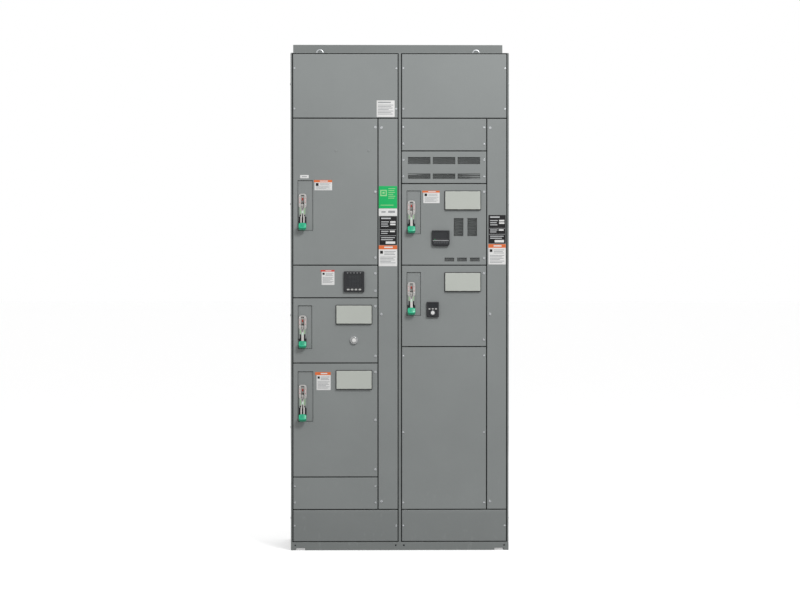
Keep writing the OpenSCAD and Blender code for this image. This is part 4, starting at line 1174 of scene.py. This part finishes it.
def strip_wires(red, blue, green):
    """Control wires from the terminal strips, with slack at the hinge side, and earth leads."""
    for name, (across, up, rows) in STRIPS.items():
        unit, x = Unit(name), across + 38
        for k in range(rows):
            wire, z = (red, blue)[k % 2], up + 8 * k + 4
            if name in CONTACTORS:
                unit.cable(wire, 1.3, (x - 4, 46, z), (x + 3, 54, z), (374, 60 + k, z + 10),
                           (374, 60 + k, up + 8 * rows + 24))
            else:
                unit.cable(wire, 1.3, (x - 4, 46, z), (x + 4, 52, z), (124, 42 - k, z - 6),
                           (150 + k, 36, 20))
        unit.cable(green, 2.2, (60, 4, 16), (120, 12, 12), (300, 10, 14), (372, 60, 18))
    unit = Unit("main")
    for k in range(20):
        z = 264 + 8 * k
        unit.cable((red, blue)[k % 2], 1.3, (352, 46, z), (360, 54, z), (372, 60 + k, z - 8),
                   (372, 60 + k, 225))


def build_cables():
    """Power and control wiring inside the units and the wireways."""
    curves = {name: new_cables() for name in JACKETS}
    black, *control = curves.values()
    ceiling = box_mm("left_wireway_door")[1].z
    feeders(black, ceiling)
    starter_leads(black, "starter", 3.2)
    starter_leads(black, "large_starter", 5)
    for name in CONVERTERS:
        converter_leads(black, name, 3.6)
    strip_wires(*control)
    # Control bundle that runs the height of each wireway
    for left in (LEFT, RIGHT):
        for k in range(7):
            x, y = left + 452 + 5 * (k % 3), FRONT + 150 + 5 * (k // 3)
            cable(control[k % 3], 2, (x, y, 110), (x + 2, y + 2, 500), (x - 1, y, 1000),
                  (x + 1, y + 2, 1500), (x, y, ceiling - 40))
    for name, curve in curves.items():
        finish_cables("unit_cables_" + name, curve, JACKETS[name])


# ---- stage

def area_light(name, place, target, size, power):
    data = assign(bpy.data.lights.new(name, "AREA"), shape="RECTANGLE", energy=power,
                  size=size[0], size_y=size[1])
    light = assign(add_object(name, data), location=place)
    light.rotation_euler = (Vector(target) - Vector(place)).to_track_quat("-Z", "Y").to_euler()


def by_camera_ray(tree, output, seen, other):
    """Gives an output a shader that differs between what the camera sees and all other light."""
    camera_ray = add_node(tree, "LightPath", {}, "Is Camera Ray")
    shader = add_node(tree, "MixShader", {0: camera_ray, 1: other, 2: seen})
    tree.links.new(shader, tree.nodes[output].inputs["Surface"])


def build_world():
    """White backdrop to the camera, dimmer white light to everything else."""
    scene = bpy.context.scene
    scene.view_settings.view_transform = "Standard"
    world = bpy.data.worlds.new("studio")
    world.use_nodes = True
    tree, white = world.node_tree, (1.0, 1.0, 1.0)
    backdrop, glow = (add_node(tree, "Background", {"Color": white, "Strength": strength})
                      for strength in (1.0, 0.62))
    by_camera_ray(tree, "World Output", backdrop, glow)
    scene.world = world


def build_floor():
    """Paper floor that looks near white to the camera and reflects less light than it shows."""
    far = 60
    mesh = bpy.data.meshes.new("floor")
    corners = [(-far, -far, 0), (far, -far, 0), (far, far, 0), (-far, far, 0)]
    mesh.from_pydata([Vector(c) for c in corners], [], [(0, 1, 2, 3)])
    look = Look("pale_floor").set(Specular_IOR_Level=0.2)
    paper = look.mix(look.noise(3, 2), (0.90, 0.90, 0.90), (0.93, 0.93, 0.93))
    look.colour(paper).roughness(look.noise(5, 2), 0.7, 0.8)
    look.set(Emission_Color=(1, 1, 1, 1), Emission_Strength=0.42)
    dull = add_node(look.tree, "BsdfDiffuse", {"Color": (0.38, 0.38, 0.38)})
    by_camera_ray(look.tree, "Material Output", look.surface.outputs[0], dull)
    mesh.materials.append(look.material)
    add_object("floor", mesh)


def build_lights():
    area_light("key", (1.7, -4.3, 4.6), (-0.1, 0, 1.9), (1.5, 1.3), 150)
    area_light("fill", (-4.5, -5.5, 2.6), (0, 0, 1.4), (3.0, 3.0), 18)
    area_light("back", (1.5, 5.5, 3.4), (0, 0, 1.4), (3.0, 3.0), 60)


def build_camera():
    camera = bpy.data.cameras.new("camera")
    assign(camera, lens=118, sensor_width=36, clip_end=200)
    front = cad_box[0].y
    place, aim = Vector((-0.23, front - 12.2, 1.40)), Vector((0, front, 1.172))
    obj = assign(add_object("camera", camera), location=place)
    obj.rotation_euler = (aim - place).to_track_quat("-Z", "Y").to_euler()
    bpy.context.scene.camera = obj


dress_cad()
build_door_trim()
build_vent_filters()
build_cover_label()
for handle_name in HANDLES:
    build_handle(handle_name)
build_escutcheons()
build_meter()
build_drive_keypad()
build_soft_starter_keypad()
build_reset_face()
build_lifting_eyes()
build_seam_shade_strips()
build_breaker_details()
build_device_details()
build_door_backs()
build_bus_bolts()
build_cables()
build_world()
build_floor()
build_lights()
build_camera()
